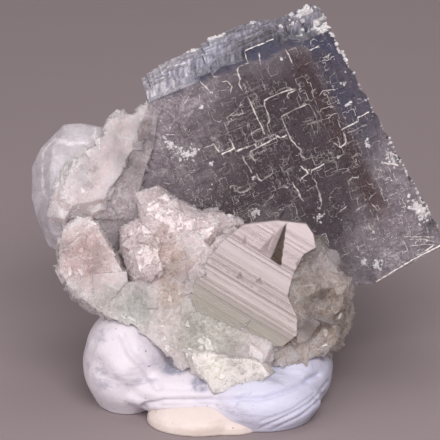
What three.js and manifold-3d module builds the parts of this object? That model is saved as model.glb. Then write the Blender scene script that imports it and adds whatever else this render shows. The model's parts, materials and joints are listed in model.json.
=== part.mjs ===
// A smoky fluorite cube grown out of a white and pale green cluster, pressed into two lumps of mounting putty.
// Units are millimetres and +Z is up. The putty stands on Z = 0 and the front of the object faces -Y.
import * as THREE from "three";
import { mergeVertices } from "three/addons/utils/BufferGeometryUtils.js";
import Module from "manifold-3d";

const wasm = await Module();
wasm.setup();

// ---- Driving dimensions ----

const LEAN = 20; // degrees that the whole cluster leans back on its putty
const UNDERSIDE = 2.2; // height of the cluster's broken underside above the ground
const SEAT_GAP = 0.3; // clearance between the cluster and the putty that it is pressed into
const TOOL = 120; // edge of the blocks that cut things away, larger than the whole object

// The cube, in its own frame: x runs up its upper edge, y down its face, z into the crystal.
const CUBE_CORNER = [-7.3, -7, 34.1]; // left end of the upper front edge, in the leaning frame
const CUBE_ROLL = 21.4; // degrees between the upper edge and the level
const CUBE_TURN = 10; // degrees that the front face turns away towards its lower end
const CUBE_DEPTH = 18;
const CUBE_WIDTH = 23.3; // length of the upper edge
const CUBE_FALL = 29.4; // length of the right edge
const CUBE_STEPS = 10; // growth steps by which the right edge widens on its way down
const CUBE_FLARE = 3.6; // how much wider the lower end is than the upper edge
const CUBE_FOOT = [[17.3, 30.6], [2.7, 26.4], [-11, 18.2], [-11.5, 12.5], [-9.6, 9.5], [-0.5, 3.6]];

// Corners lost along fluorite's octahedral cleavage: how far in from each corner the break runs.
const CLEAVED = [
  { corner: [CUBE_WIDTH + CUBE_FLARE, CUBE_FALL, CUBE_DEPTH], inwards: [-1, -1, -1], lost: 0.7 },
  { corner: [CUBE_WIDTH, 0, CUBE_DEPTH], inwards: [-1, 1, -1], lost: 1 },
  { corner: [-9, 17, CUBE_DEPTH], inwards: [1, -1, -1], lost: 2 },
];

// The growths around the cube. Each has its outline seen from the front as [x, z], the Y of its front and
// back, how far its front slopes back per millimetre [across, up], and how much its front and back draw in.
const GROWTHS = {
  upper_crest: {
    outline: [
      [-5.6, 38.6], [-2.6, 40.4], [1.2, 42.5], [5.4, 44.4], [9.4, 44.9], [11.4, 45.7], [13.4, 46],
      [14, 44.2], [10.8, 41], [-1.2, 36.8],
    ],
    front: -2.5,
    back: 10.5,
    slope: [0, 0.3],
    draw: [0.1, 0.12],
  },
  milky_lobe: {
    outline: [
      [-17.8, 31.7], [-15.6, 31.8], [-12.2, 31.1], [-9.8, 28.4], [-9.8, 21.8], [-12.7, 18.1], [-18, 16],
      [-19.6, 16.9], [-20.8, 19.8], [-21.7, 22.7], [-21.7, 26.5], [-20.6, 28.7], [-19.2, 30.2],
    ],
    front: -3,
    back: 11,
    slope: [-0.15, 0.05],
    draw: [0.25, 0.35],
  },
  white_ridge: {
    outline: [
      [-12.4, 30.8], [-11.8, 32.6], [-10.9, 33.1], [-9.7, 32.5], [-8.4, 33.1], [-7.3, 34.1], [-6.1, 33.2],
      [-7.8, 30.4], [-9.6, 27.1], [-11.8, 22.9], [-12.4, 21.1], [-15.1, 20.4], [-18.5, 20.6],
      [-19.4, 23.6], [-18.7, 27.2], [-16.2, 29.4],
    ],
    front: -8.2,
    back: 4,
    slope: [0.12, 0.02],
    draw: [0.12, 0.3],
  },
  pink_block: {
    outline: [
      [-18, 16.1], [-18.7, 19.3], [-15.1, 20.5], [-12.8, 18.1], [-9.7, 13.8], [-8.4, 10.4], [-9.8, 8.2],
      [-14, 8.9], [-17.4, 11.4],
    ],
    front: -9,
    back: 7,
    slope: [-0.08, -0.05],
    draw: [0.14, 0.3],
  },
  white_matrix: {
    outline: [
      [-10.6, 19.3], [-8.2, 20.4], [-8.4, 22.1], [-7.7, 23.5], [-6.2, 23.9], [-4.6, 23.2], [-1.1, 21.1],
      [1.9, 20.8], [4.1, 19.8], [4.8, 14], [-1.2, 9.2], [-8.4, 10.4], [-10, 13.8], [-10.8, 17],
    ],
    front: -10.6,
    back: 2,
    slope: [0, 0.22],
    draw: [0.12, 0.2],
  },
  striated_block: {
    outline: [
      [4, 19.7], [7.9, 20.2], [11.5, 19.8], [12.4, 18.5], [12.7, 16.8], [11.2, 16], [10, 13.8],
      [8.5, 10.2], [6.7, 7.8], [1.8, 8], [-2.9, 13], [-0.7, 16.2], [1.4, 17.8],
    ],
    front: -11.8,
    back: 1,
    slope: [0.06, 0.16],
    draw: [0.01, 0.2],
  },
  green_base: {
    outline: [
      [-12.5, 8.5], [-9.6, 8], [-7.2, 5.4], [-5.5, 4], [-2.5, 1.8], [2.4, 1.8], [7.9, 2.3], [13, 3.6],
      [14.9, 4.6], [16.3, 7.3], [16.9, 10.4], [16.2, 12.8], [10.8, 15], [-1.2, 15], [-9.6, 13.4],
    ],
    front: -10.4,
    back: 9,
    slope: [0.02, 0.02],
    draw: [0.1, 0.22],
  },
  honey_block: {
    outline: [
      [10.3, 15], [13, 16.6], [15.4, 15], [16.8, 12], [16.9, 10.4], [16.3, 7.3], [14.9, 4.6], [13, 3.6],
      [7.9, 2.4], [6.2, 6.8], [8.5, 10.2],
    ],
    front: -10.2,
    back: 6,
    slope: [0.2, 0.05],
    draw: [0.12, 0.25],
  },
  bottom_chip: {
    outline: [
      [-3.1, 4.9], [0, 4.8], [2.3, 4.1], [4.9, 4], [6.6, 3.5], [7.6, 2], [6.6, 0.6], [4.6, -0.2],
      [2.9, 0.4], [2.3, -0.5], [0, -0.5], [-0.6, 0.8], [-2.2, 2.3],
    ],
    front: -13,
    back: -6,
    slope: [0, 0.15],
    draw: [0.08, 0.2],
  },
};

// The putty, as lumps pressed together: the centre and the three radii of each.
const BLUE_PUTTY = [
  { centre: [0, 0.5, 2.6], radii: [13.6, 12.6, 4.6] }, // pad under the cluster
  { centre: [-9.8, -3.2, 4.6], radii: [5.6, 8, 6.6] }, // tall roll at the left
  { centre: [9.4, -1.5, 3.2], radii: [5.6, 10, 5] }, // long roll at the right
  { centre: [6.2, -9.4, 2.4], radii: [7.2, 6, 3.9] }, // front end of the right roll
  { centre: [-2.5, -8.4, 3], radii: [9, 4.6, 3] }, // strand between the two rolls
  { centre: [1.5, 9.4, 4], radii: [9.5, 5.6, 5.4] }, // roll that props the back
];
const CREAM_PUTTY = [
  { centre: [-1.2, -10.6, 0.6], radii: [6.4, 5, 2.5] },
  { centre: [2.4, -11.6, 0.3], radii: [4, 3.6, 1.8] },
];
const LUMP_SIDES = 24;
const LUMP_RINGS = 14;

// ---- Materials ----

const MATERIALS = {
  smoky_fluorite: new THREE.MeshStandardMaterial({ color: 0x8a8490, roughness: 0.15, metalness: 0 }),
  blue_putty: new THREE.MeshStandardMaterial({ color: 0xb9bdd4, roughness: 0.45, metalness: 0 }),
  cream_putty: new THREE.MeshStandardMaterial({ color: 0xdcc9b4, roughness: 0.5, metalness: 0 }),
};

// ---- Joining and cutting ----

// The closed geometry, as a solid that can be joined and cut.
function solidOf(geometry) {
  const bare = geometry.clone();
  bare.deleteAttribute("normal");
  bare.deleteAttribute("uv");
  const merged = mergeVertices(bare, 1e-4);
  return new wasm.Manifold(
    new wasm.Mesh({
      numProp: 3,
      vertProperties: new Float32Array(merged.attributes.position.array),
      triVerts: new Uint32Array(merged.index.array),
    }),
  );
}

// The solid, as a geometry that three.js can place.
function geometryOf(solid) {
  const mesh = solid.getMesh();
  const geometry = new THREE.BufferGeometry();
  geometry.setAttribute("position", new THREE.BufferAttribute(new Float32Array(mesh.vertProperties), 3));
  geometry.setIndex(new THREE.BufferAttribute(new Uint32Array(mesh.triVerts), 1));
  geometry.computeVertexNormals();
  return geometry;
}

// A block that takes away everything on the far side of a plane through a point, along outwards.
function beyond(point, outwards) {
  const block = new THREE.BoxGeometry(TOOL, TOOL, TOOL).translate(0, 0, TOOL / 2);
  const turn = new THREE.Quaternion().setFromUnitVectors(
    new THREE.Vector3(0, 0, 1),
    outwards.clone().normalize(),
  );
  return solidOf(block.applyQuaternion(turn).translate(point.x, point.y, point.z));
}

// ---- The cube ----

// The face's outline: the upper edge, the right edge widening in growth steps, then the buried lower end.
function cubeOutline() {
  const outline = [new THREE.Vector2(0, 0)];
  for (let step = 0; step < CUBE_STEPS; step += 1) {
    const x = CUBE_WIDTH + (CUBE_FLARE * step) / (CUBE_STEPS - 1);
    outline.push(new THREE.Vector2(x, (CUBE_FALL * step) / CUBE_STEPS));
    outline.push(new THREE.Vector2(x, (CUBE_FALL * (step + 1)) / CUBE_STEPS));
  }
  CUBE_FOOT.forEach(([x, y]) => outline.push(new THREE.Vector2(x, y)));
  return outline;
}

function smokyCube() {
  const block = new THREE.ExtrudeGeometry(new THREE.Shape(cubeOutline()), {
    depth: CUBE_DEPTH,
    bevelEnabled: false,
  });
  let cube = solidOf(block);
  for (const { corner, inwards, lost } of CLEAVED) {
    const inside = new THREE.Vector3(...inwards).normalize();
    const point = new THREE.Vector3(...corner).addScaledVector(inside, lost);
    cube = cube.subtract(beyond(point, inside.negate()));
  }
  return solidOf(geometryOf(cube).applyMatrix4(cubePlace()));
}

// Where the cube's own frame lies in the leaning frame.
function cubePlace() {
  const roll = THREE.MathUtils.degToRad(CUBE_ROLL);
  const turn = THREE.MathUtils.degToRad(CUBE_TURN);
  const along = new THREE.Vector3(Math.cos(roll), 0, Math.sin(roll));
  const down = new THREE.Vector3(
    Math.sin(roll) * Math.cos(turn),
    Math.sin(turn),
    -Math.cos(roll) * Math.cos(turn),
  );
  const inwards = new THREE.Vector3().crossVectors(along, down);
  return new THREE.Matrix4().makeBasis(along, down, inwards).setPosition(...CUBE_CORNER);
}

// ---- The growths around it ----

// A closed block lofted through four copies of the outline: drawn in at the front and the back.
function growth({ outline, front, back, slope, draw }) {
  const points = outline.map(([x, z]) => new THREE.Vector2(x, z));
  if (THREE.ShapeUtils.area(points) < 0) points.reverse();
  const middle = points.reduce((sum, p) => sum.add(p), new THREE.Vector2()).divideScalar(points.length);
  const depth = back - front;
  const levels = [
    { y: front, keep: 1 - draw[0] },
    { y: front + depth * 0.2, keep: 1 },
    { y: front + depth * 0.6, keep: 1 },
    { y: back, keep: 1 - draw[1] },
  ];
  const position = [];
  levels.forEach(({ y, keep }, level) => {
    const tilt = level === 0 ? 1 : 1 - level / (levels.length - 1);
    points.forEach((p) => {
      const x = middle.x + (p.x - middle.x) * keep;
      const z = middle.y + (p.y - middle.y) * keep;
      position.push(x, y + tilt * (slope[0] * (x - middle.x) + slope[1] * (z - middle.y)), z);
    });
  });
  const count = points.length;
  const index = [];
  for (let level = 0; level < levels.length - 1; level += 1) {
    for (let i = 0; i < count; i += 1) {
      const a = level * count + i;
      const b = level * count + ((i + 1) % count);
      index.push(a, a + count, b, b, a + count, b + count);
    }
  }
  const last = (levels.length - 1) * count;
  THREE.ShapeUtils.triangulateShape(points, []).forEach(([a, b, c]) => {
    index.push(a, b, c);
    index.push(last + a, last + c, last + b);
  });
  const geometry = new THREE.BufferGeometry();
  geometry.setAttribute("position", new THREE.BufferAttribute(new Float32Array(position), 3));
  geometry.setIndex(index);
  return solidOf(geometry);
}

// The whole cluster in its leaning frame, broken off flat underneath.
function cluster(leanBack) {
  const whole = Object.values(GROWTHS).reduce((grown, one) => grown.add(growth(one)), smokyCube());
  const upright = leanBack.clone().invert();
  const ground = new THREE.Vector3(0, 0, UNDERSIDE).applyMatrix4(upright);
  const down = new THREE.Vector3(0, 0, -1).transformDirection(upright);
  return whole.subtract(beyond(ground, down));
}

// ---- The putty ----

// Lumps pressed together and flattened on the ground.
function putty(lumps) {
  const pressed = lumps
    .map(({ centre, radii }) =>
      solidOf(new THREE.SphereGeometry(1, LUMP_SIDES, LUMP_RINGS).scale(...radii).translate(...centre)),
    )
    .reduce((whole, lump) => whole.add(lump));
  return pressed.subtract(beyond(new THREE.Vector3(), new THREE.Vector3(0, 0, -1)));
}

// The putty with room for what is pressed into it: the neighbour is cut away, shifted by the gap towards
// each side and corner of a cube.
function seatedAround(lump, neighbour, gap) {
  const geometry = geometryOf(neighbour);
  let left = lump;
  const ways = [-1, 0, 1];
  for (const x of ways) {
    for (const y of ways) {
      for (const z of ways) {
        const shift = new THREE.Vector3(x, y, z).setLength(x || y || z ? gap : 0);
        left = left.subtract(solidOf(geometry.clone().translate(shift.x, shift.y, shift.z)));
      }
    }
  }
  return left;
}

// ---- Assembly ----

function named(name, solid, material) {
  const mesh = new THREE.Mesh(geometryOf(solid), material);
  mesh.name = name;
  return mesh;
}

const leaning = new THREE.Group();
leaning.rotation.x = -THREE.MathUtils.degToRad(LEAN);
leaning.updateMatrix();
const specimen = cluster(leaning.matrix);
leaning.add(named("fluorite_specimen", specimen, MATERIALS.smoky_fluorite));

const pressedIn = solidOf(geometryOf(specimen).applyMatrix4(leaning.matrix));
const cream = seatedAround(putty(CREAM_PUTTY), pressedIn, SEAT_GAP);
const blue = seatedAround(seatedAround(putty(BLUE_PUTTY), pressedIn, SEAT_GAP), cream, SEAT_GAP);

const group = new THREE.Group();
const centred = new THREE.Group();
centred.add(leaning);
centred.add(named("putty_blue", blue, MATERIALS.blue_putty));
centred.add(named("putty_cream", cream, MATERIALS.cream_putty));
group.add(centred);

// The origin is the middle of the base of the box around everything.
const box = new THREE.Box3().setFromObject(group, true);
const middle = box.getCenter(new THREE.Vector3());
centred.position.set(-middle.x, -middle.y, 0);

export default group;
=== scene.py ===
# %% [markdown]
# # A smoky fluorite cube on its putty
#
# Fluorite grows as cubes. This one is smoky and see-through, its face is built of many low square steps,
# and it has grown out of a white and pale green cluster that is pressed into two lumps of putty. The packed
# model gives every piece its place and size. This script gives each one its real surface.

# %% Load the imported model
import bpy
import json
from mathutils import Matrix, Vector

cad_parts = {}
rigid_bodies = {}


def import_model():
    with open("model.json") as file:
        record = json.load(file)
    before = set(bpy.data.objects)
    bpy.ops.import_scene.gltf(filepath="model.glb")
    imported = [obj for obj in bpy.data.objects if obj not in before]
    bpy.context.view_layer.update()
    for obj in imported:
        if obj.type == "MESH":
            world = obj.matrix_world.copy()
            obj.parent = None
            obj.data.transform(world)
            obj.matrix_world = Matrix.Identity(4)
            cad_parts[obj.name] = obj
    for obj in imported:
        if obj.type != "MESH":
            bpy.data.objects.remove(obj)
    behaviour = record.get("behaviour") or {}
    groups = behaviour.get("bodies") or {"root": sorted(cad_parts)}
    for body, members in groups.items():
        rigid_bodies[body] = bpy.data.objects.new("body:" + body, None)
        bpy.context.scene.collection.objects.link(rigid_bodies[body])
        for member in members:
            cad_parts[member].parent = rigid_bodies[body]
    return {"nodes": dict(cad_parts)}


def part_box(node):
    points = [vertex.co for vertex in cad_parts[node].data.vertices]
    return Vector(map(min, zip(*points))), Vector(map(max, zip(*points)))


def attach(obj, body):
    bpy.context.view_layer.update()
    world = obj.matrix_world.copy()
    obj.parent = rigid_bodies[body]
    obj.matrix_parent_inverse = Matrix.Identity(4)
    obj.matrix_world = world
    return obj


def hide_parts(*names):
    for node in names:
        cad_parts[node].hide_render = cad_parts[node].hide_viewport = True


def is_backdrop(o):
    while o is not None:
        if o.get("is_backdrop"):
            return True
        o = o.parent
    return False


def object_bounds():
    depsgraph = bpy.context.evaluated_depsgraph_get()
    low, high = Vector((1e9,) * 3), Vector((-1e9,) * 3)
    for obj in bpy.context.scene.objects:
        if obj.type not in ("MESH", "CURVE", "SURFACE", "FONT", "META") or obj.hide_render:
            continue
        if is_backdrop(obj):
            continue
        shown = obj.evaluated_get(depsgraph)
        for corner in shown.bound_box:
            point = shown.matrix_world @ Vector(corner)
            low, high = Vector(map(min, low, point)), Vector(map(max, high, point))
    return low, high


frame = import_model()
cad_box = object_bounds()
print("nodes:", sorted(frame["nodes"]))

# %% [markdown]
# ## Two frames
#
# A collector leans a specimen back on its putty so that its best face looks at the viewer. It is far easier
# to think about the crystal as it is seen from the front than as it leans, so the specimen is laid out in a
# leaning frame: x to the right, z up along the lean and y away from the viewer, all in millimetres. The
# cube has a frame of its own inside that one, with x along its upper edge, y down its face and z into the
# crystal. The putty's front left corner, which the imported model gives, fixes where it all stands.

# %% The leaning frame and the cube's frame
import itertools
import json
from math import cos, radians, sin

import bmesh
import bpy
import numpy as np
from mathutils import Euler, Matrix, Quaternion, Vector
from mathutils.bvhtree import BVHTree

MM = 0.001
LEAN = 20
CREAM_CORNER = (-7.6, -15.6)
cream_low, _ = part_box("putty_cream")
upright = (
    Matrix.Translation((cream_low.x - CREAM_CORNER[0] * MM, cream_low.y - CREAM_CORNER[1] * MM, 0))
    @ Matrix.Scale(MM, 4)
)
leaning = upright @ Matrix.Rotation(radians(-LEAN), 4, "X")

CUBE_CORNER = Vector((-7.3, -7, 34.1))
CUBE_ROLL = radians(21.4)
CUBE_TURN = radians(10)
edge_along = Vector((cos(CUBE_ROLL), 0, sin(CUBE_ROLL)))
edge_down = Vector((sin(CUBE_ROLL) * cos(CUBE_TURN), sin(CUBE_TURN), -cos(CUBE_ROLL) * cos(CUBE_TURN)))
edge_inwards = edge_along.cross(edge_down)
cube_frame = Matrix((edge_along, edge_down, edge_inwards)).transposed().to_4x4()
cube_frame.translation = CUBE_CORNER
cube_to_world = leaning @ cube_frame
print("cube corner stands at", [round(v / MM, 1) for v in cube_to_world.translation], "mm")

# %% [markdown]
# ## Unevenness that is the same on every run
#
# No natural face is quite even. Smooth noise sets a number on each point of a lattice and blends between
# them, which gives soft lumps of a chosen size. It works on whole arrays at once, and takes its numbers
# from a hash of the lattice cell and not from a random generator, so they never change.

# %% Smooth noise
def hashed(cell, seed):
    """A number from 0 to 1 for each whole-number cell."""
    x, y, z = (cell[:, k].astype(np.int64) for k in range(3))
    mixed = (x * 73856093) ^ (y * 19349663) ^ (z * 83492791) ^ (seed * 2654435761)
    mixed = ((mixed ^ (mixed >> 13)) * 1274126177) & 0xFFFFFFFF
    mixed = mixed ^ (mixed >> 15)
    return (mixed & 0xFFFFFF) / 0x1000000


def smooth_noise(points, size, seed=0, octaves=3):
    """Soft lumps about size across, from -1 to 1, with finer and weaker ones laid over them."""
    total = np.zeros(len(points))
    strength = 1.0
    reach = 0.0
    for octave in range(octaves):
        scaled = points / size * 2**octave
        cell = np.floor(scaled)
        part = scaled - cell
        part = part * part * (3 - 2 * part)
        value = np.zeros(len(points))
        for corner in itertools.product((0, 1), repeat=3):
            weight = np.prod(np.where(corner, part, 1 - part), axis=1)
            value += weight * hashed(cell + corner, seed + octave)
        total += strength * (2 * value - 1)
        reach += strength
        strength *= 0.5
    return total / reach


def ramp(value, low, high):
    """0 below low, 1 above high, and smooth between."""
    t = np.clip((value - low) / (high - low), 0, 1)
    return t * t * (3 - 2 * t)

# %% [markdown]
# ## Making a growth
#
# Each growth round the cube is a block lofted through four copies of one outline, drawn in at the front and
# the back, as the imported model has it. A smooth growth is then turned into an even skin of small faces by a
# voxel remesh and pushed in and out by a relief of its own. Subdividing the loft instead would leave long
# thin faces on its sides, which tear when they are pushed.

# %% Meshes in millimetres, then pieces in the frame
def new_object(name, vertices, faces):
    mesh = bpy.data.meshes.new(name)
    mesh.from_pydata([tuple(v) for v in vertices], [], [tuple(f) for f in faces])
    mesh.update()
    made = bpy.data.objects.new(name, mesh)
    bpy.context.scene.collection.objects.link(made)
    return made


def poured(name, shape):
    """A new object from a bmesh, which is used up."""
    made = new_object(name, [], [])
    shape.to_mesh(made.data)
    shape.free()
    return made


def outward(made):
    """Turns every face to look out of the piece."""
    shape = bmesh.new()
    shape.from_mesh(made.data)
    bmesh.ops.recalc_face_normals(shape, faces=shape.faces)
    shape.to_mesh(made.data)
    shape.free()


def between_rings(count, levels):
    """The faces that join rings of count points each, one level after another."""
    faces = []
    for level in range(0, levels * count, count):
        for i in range(count):
            j = (i + 1) % count
            faces.append((level + i, level + j, level + count + j, level + count + i))
    return faces


def loft(name, outline, front, back, slope, draw):
    """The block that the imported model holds: an outline [x, z] at four depths."""
    points = np.array(outline, float)
    middle = points.mean(axis=0)
    depth = back - front
    levels = [(front, 1 - draw[0], 1), (front + depth * 0.2, 1, 2 / 3), (front + depth * 0.6, 1, 1 / 3)]
    levels.append((back, 1 - draw[1], 0))
    rings = []
    for y, keep, tilt in levels:
        flat = middle + (points - middle) * keep
        lift = tilt * ((flat - middle) @ np.array(slope))
        rings.append(np.column_stack([flat[:, 0], y + lift, flat[:, 1]]))
    count = len(points)
    faces = [range(count), range(3 * count, 4 * count), *between_rings(count, 3)]
    made = new_object(name, np.concatenate(rings), faces)
    outward(made)
    return made


def apply_modifiers(made):
    """Keeps what the modifiers show as the piece's own mesh."""
    shown = made.evaluated_get(bpy.context.evaluated_depsgraph_get())
    mesh = bpy.data.meshes.new_from_object(shown)
    old = made.data
    made.modifiers.clear()
    made.data = mesh
    bpy.data.meshes.remove(old)


def even_skin(made, size, soften=0):
    """Small faces of one size all over, and corners worn round by soften passes of smoothing."""
    remesh = made.modifiers.new("skin", "REMESH")
    remesh.mode = "VOXEL"
    remesh.voxel_size = size
    if soften:
        smooth = made.modifiers.new("soften", "SMOOTH")
        smooth.factor = 0.5
        smooth.iterations = soften
    apply_modifiers(made)


def arrays(made):
    """The piece's points and normals, one row each."""
    count = len(made.data.vertices)
    points = np.empty(count * 3)
    normals = np.empty(count * 3)
    made.data.vertices.foreach_get("co", points)
    made.data.vertices.foreach_get("normal", normals)
    return points.reshape(-1, 3), normals.reshape(-1, 3)


def push(made, relief):
    """Moves each point along its normal by relief(points, normals), in millimetres."""
    points, normals = arrays(made)
    made.data.vertices.foreach_set("co", (points + normals * relief(points, normals)[:, None]).ravel())
    made.data.update()


def mark(made, name, values):
    """Keeps a number for each point, for the finish to read."""
    kept = made.data.attributes.new(name, "FLOAT", "POINT").data
    kept.foreach_set("value", np.asarray(values, np.float32))


def skin_of(made):
    """The piece's surface, ready for quick questions about the nearest point on it."""
    return BVHTree.FromPolygons([v.co for v in made.data.vertices], [p.vertices for p in made.data.polygons])


def united(made, others):
    """Joins the others to a piece as one closed skin, and uses them up."""
    group = bpy.data.collections.new("others")
    bpy.context.scene.collection.children.link(group)
    for other in others:
        bpy.context.scene.collection.objects.unlink(other)
        group.objects.link(other)
    join = made.modifiers.new("join", "BOOLEAN")
    join.operation = "UNION"
    join.operand_type = "COLLECTION"
    join.collection = group
    join.solver = "MANIFOLD"
    apply_modifiers(made)
    for other in others:
        bpy.data.objects.remove(other)
    bpy.data.collections.remove(group)


def finished(made, materials, number=None):
    """Gives a piece its materials, and one of them, by number, to all its faces."""
    for material in materials:
        made.data.materials.append(material)
    if number is not None:
        made.data.polygons.foreach_set("material_index", [number] * len(made.data.polygons))
    return made


SPECIMEN = ("fluorite_specimen", "smoky_fluorite")  # its node and its material slot


def place(made, frame_of, materials, node, slot, smooth=False):
    """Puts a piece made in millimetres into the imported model's frame, in the stead of a node."""
    made.data.transform(frame_of)
    finished(made, materials)
    made.data.shade_smooth() if smooth else made.data.shade_flat()
    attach(made, "root")
    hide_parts(node)
    print(f"{made.name}: {len(made.data.polygons)} faces")

# %% [markdown]
# ## Writing finishes as sums
#
# A finish is a small graph of nodes, and most of its nodes do arithmetic. A wire stands for one output
# socket. Adding, multiplying or comparing wires adds the Math nodes, so the graph reads as a formula.
# Everything else comes from one call that takes the node's type, its settings and what goes into its
# sockets.

# %% Wires and finishes
class Wire:
    """One output of a node, which can be used in Python sums with numbers and other wires."""

    def __init__(self, finish, socket):
        self.finish = finish
        self.socket = socket

    def maths(self, operation, *values):
        return self.finish.node("Math", {"operation": operation}, list(values))

    def __add__(self, other):
        return self.maths("ADD", self, other)

    def __sub__(self, other):
        return self.maths("SUBTRACT", self, other)

    def __rsub__(self, other):
        return self.maths("SUBTRACT", other, self)

    def __mul__(self, other):
        return self.maths("MULTIPLY", self, other)

    __radd__ = __add__
    __rmul__ = __mul__

    def clamped(self):
        return self.finish.node("Math", {"operation": "ADD", "use_clamp": True}, [self, 0.0])

    def ramped(self, low, high):
        """0 where this is below low, 1 where it is above high, and smooth between."""
        values = {"Value": self, "From Min": low, "From Max": high}
        return self.finish.node("MapRange", {"interpolation_type": "SMOOTHSTEP"}, values)


class Finish:
    """A material and the calls that build its nodes. Its patterns are laid out in millimetres."""

    def __init__(self, name):
        self.material = bpy.data.materials.new(name)
        self.material.use_nodes = True
        self.tree = self.material.node_tree
        self.tree.nodes.clear()
        self.output = self.tree.nodes.new("ShaderNodeOutputMaterial")
        metres = self.node("TexCoord", output="Object")
        values = {"Vector": metres, "Scale": 1 / MM}
        self.spot = self.node("VectorMath", {"operation": "SCALE"}, values)

    def node(self, kind, settings=None, inputs=None, output=0):
        """A node's output as a wire. The type is given without ShaderNode, which all types start with."""
        made = self.tree.nodes.new("ShaderNode" + kind)
        for name, value in (settings or {}).items():
            setattr(made, name, value)
        pairs = enumerate(inputs) if isinstance(inputs, list) else (inputs or {}).items()
        for key, value in pairs:
            if isinstance(value, Wire):
                self.tree.links.new(value.socket, made.inputs[key])
            else:
                made.inputs[key].default_value = value
        return Wire(self, made.outputs[output])

    def noise(self, size, detail=3.0, roughness=0.55, at=None):
        values = {"Vector": at or self.spot, "Scale": 1 / size, "Detail": detail, "Roughness": roughness}
        return self.node("TexNoise", inputs=values)

    def cells(self, size, at=None, distance="EUCLIDEAN"):
        """A random number for each patch about size across. CHEBYCHEV distance makes the patches square."""
        values = {"Vector": at or self.spot, "Scale": 1 / size}
        colour = self.node("TexVoronoi", {"distance": distance}, values, output="Color")
        return self.node("SeparateColor", inputs=[colour])

    def distance_from(self, place):
        """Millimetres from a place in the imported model's frame."""
        settings = {"operation": "DISTANCE"}
        return self.node("VectorMath", settings, [self.spot, tuple(place / MM)], output="Value")

    def veins(self, size, width):
        """Thin crooked lines between patches about size across, as the edges of hidden cracks show."""
        values = {"Vector": self.spot, "Scale": 2 / size}
        stir = self.node("TexNoise", inputs=values, output="Color")
        settings = {"operation": "MULTIPLY_ADD"}
        bent = self.node("VectorMath", settings, [stir, (size, size, size), self.spot])
        values = {"Vector": bent, "Scale": 1 / size}
        gap = self.node("TexVoronoi", {"feature": "DISTANCE_TO_EDGE"}, values, output="Distance")
        return 1 - gap.ramped(0, width / size)

    def along(self, frame_of, direction):
        """Millimetres from a frame's origin along a direction given in that frame."""
        heading = (frame_of.to_3x3() @ Vector(direction)).normalized()
        settings = {"operation": "DOT_PRODUCT"}
        reached = self.node("VectorMath", settings, [self.spot, tuple(heading)], output="Value")
        return reached - heading @ frame_of.translation / MM

    def marked(self, name):
        return self.node("Attribute", {"attribute_name": name}, output="Fac")

    def mixed(self, share, first, second, blend="MIX"):
        """Two colours, or wires of colours, mixed by a wire or number."""
        settings = {"data_type": "RGBA", "blend_type": blend}
        return self.node("Mix", settings, {0: share, 6: solid(first), 7: solid(second)}, output=2)

    def bump(self, height, depth):
        values = {"Height": height, "Distance": depth * MM, "Strength": 1.0}
        return self.node("Bump", inputs=values)

    def shader(self, **values):
        named = {name.replace("_", " "): value for name, value in values.items()}
        return self.node("BsdfPrincipled", inputs=named)

    def surface(self, shader):
        self.tree.links.new(shader.socket, self.output.inputs["Surface"])
        return self

    def absorbs(self, colour, density):
        inside = self.node("VolumeAbsorption", inputs={"Color": (*colour, 1), "Density": density})
        self.tree.links.new(inside.socket, self.output.inputs["Volume"])
        return self


def solid(colour):
    return colour if isinstance(colour, Wire) else (*colour, 1)


FLUORITE_IOR = 1.434
WHITE = (1.0, 1.0, 1.0)

# %% [markdown]
# ## Clear, smoky crystal
#
# The cube is see-through. Its darkness isn't on its surface: light is taken away inside, so thick parts are
# darker than thin ones. That is a Volume Absorption with plain values. The outer rim of the cube is a cool
# grey, and its heart is a warmer brown, because the last layers grew from cleaner water. More bodies sealed
# inside the first one give that heart. They don't bend light, since they are the same crystal, so their IOR
# is 1.
#
# A thin haze lies over the clear face in places. It is lilac at the left, blue along the right and upper
# edges and brown beside that, and square patches in it follow the steps. On the sides it lies in streaks.

# %% Finishes: the smoky rim, the brown heart and the frosted steps
def clear_crystal(finish, roughness):
    """Glass-like crystal, with the faint unevenness that every grown face has."""
    return finish.shader(
        Base_Color=(0.97, 0.97, 0.98, 1),
        Roughness=roughness,
        IOR=FLUORITE_IOR,
        Transmission_Weight=1.0,
        Normal=finish.bump(finish.noise(0.35, detail=4), 0.008),
    )


def hazed(finish, clear, share, colour):
    """The clear shader, with a thin dull haze over a share of it."""
    shade = finish.mixed(finish.cells(0.2), (0.5, 0.5, 0.5), WHITE)
    haze = finish.shader(
        Base_Color=finish.mixed(0.5, colour, shade, "MULTIPLY"),
        Roughness=0.4,
        IOR=FLUORITE_IOR,
        Normal=finish.bump(finish.noise(0.3, detail=4), 0.03),
    )
    return finish.node("MixShader", inputs=[share, clear, haze])


SMOKE = ((0.46, 0.46, 0.56), 62)  # colour and density of what the crystal takes away from light
LILAC_HAZE = (0.68, 0.63, 0.67)
BLUE_HAZE = (0.07, 0.10, 0.20)
BROWN_HAZE = (0.20, 0.12, 0.11)
CUBE_WIDTH = 23.3
WIDENING = 0.122  # how much wider the cube's face gets for each millimetre down it

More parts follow.
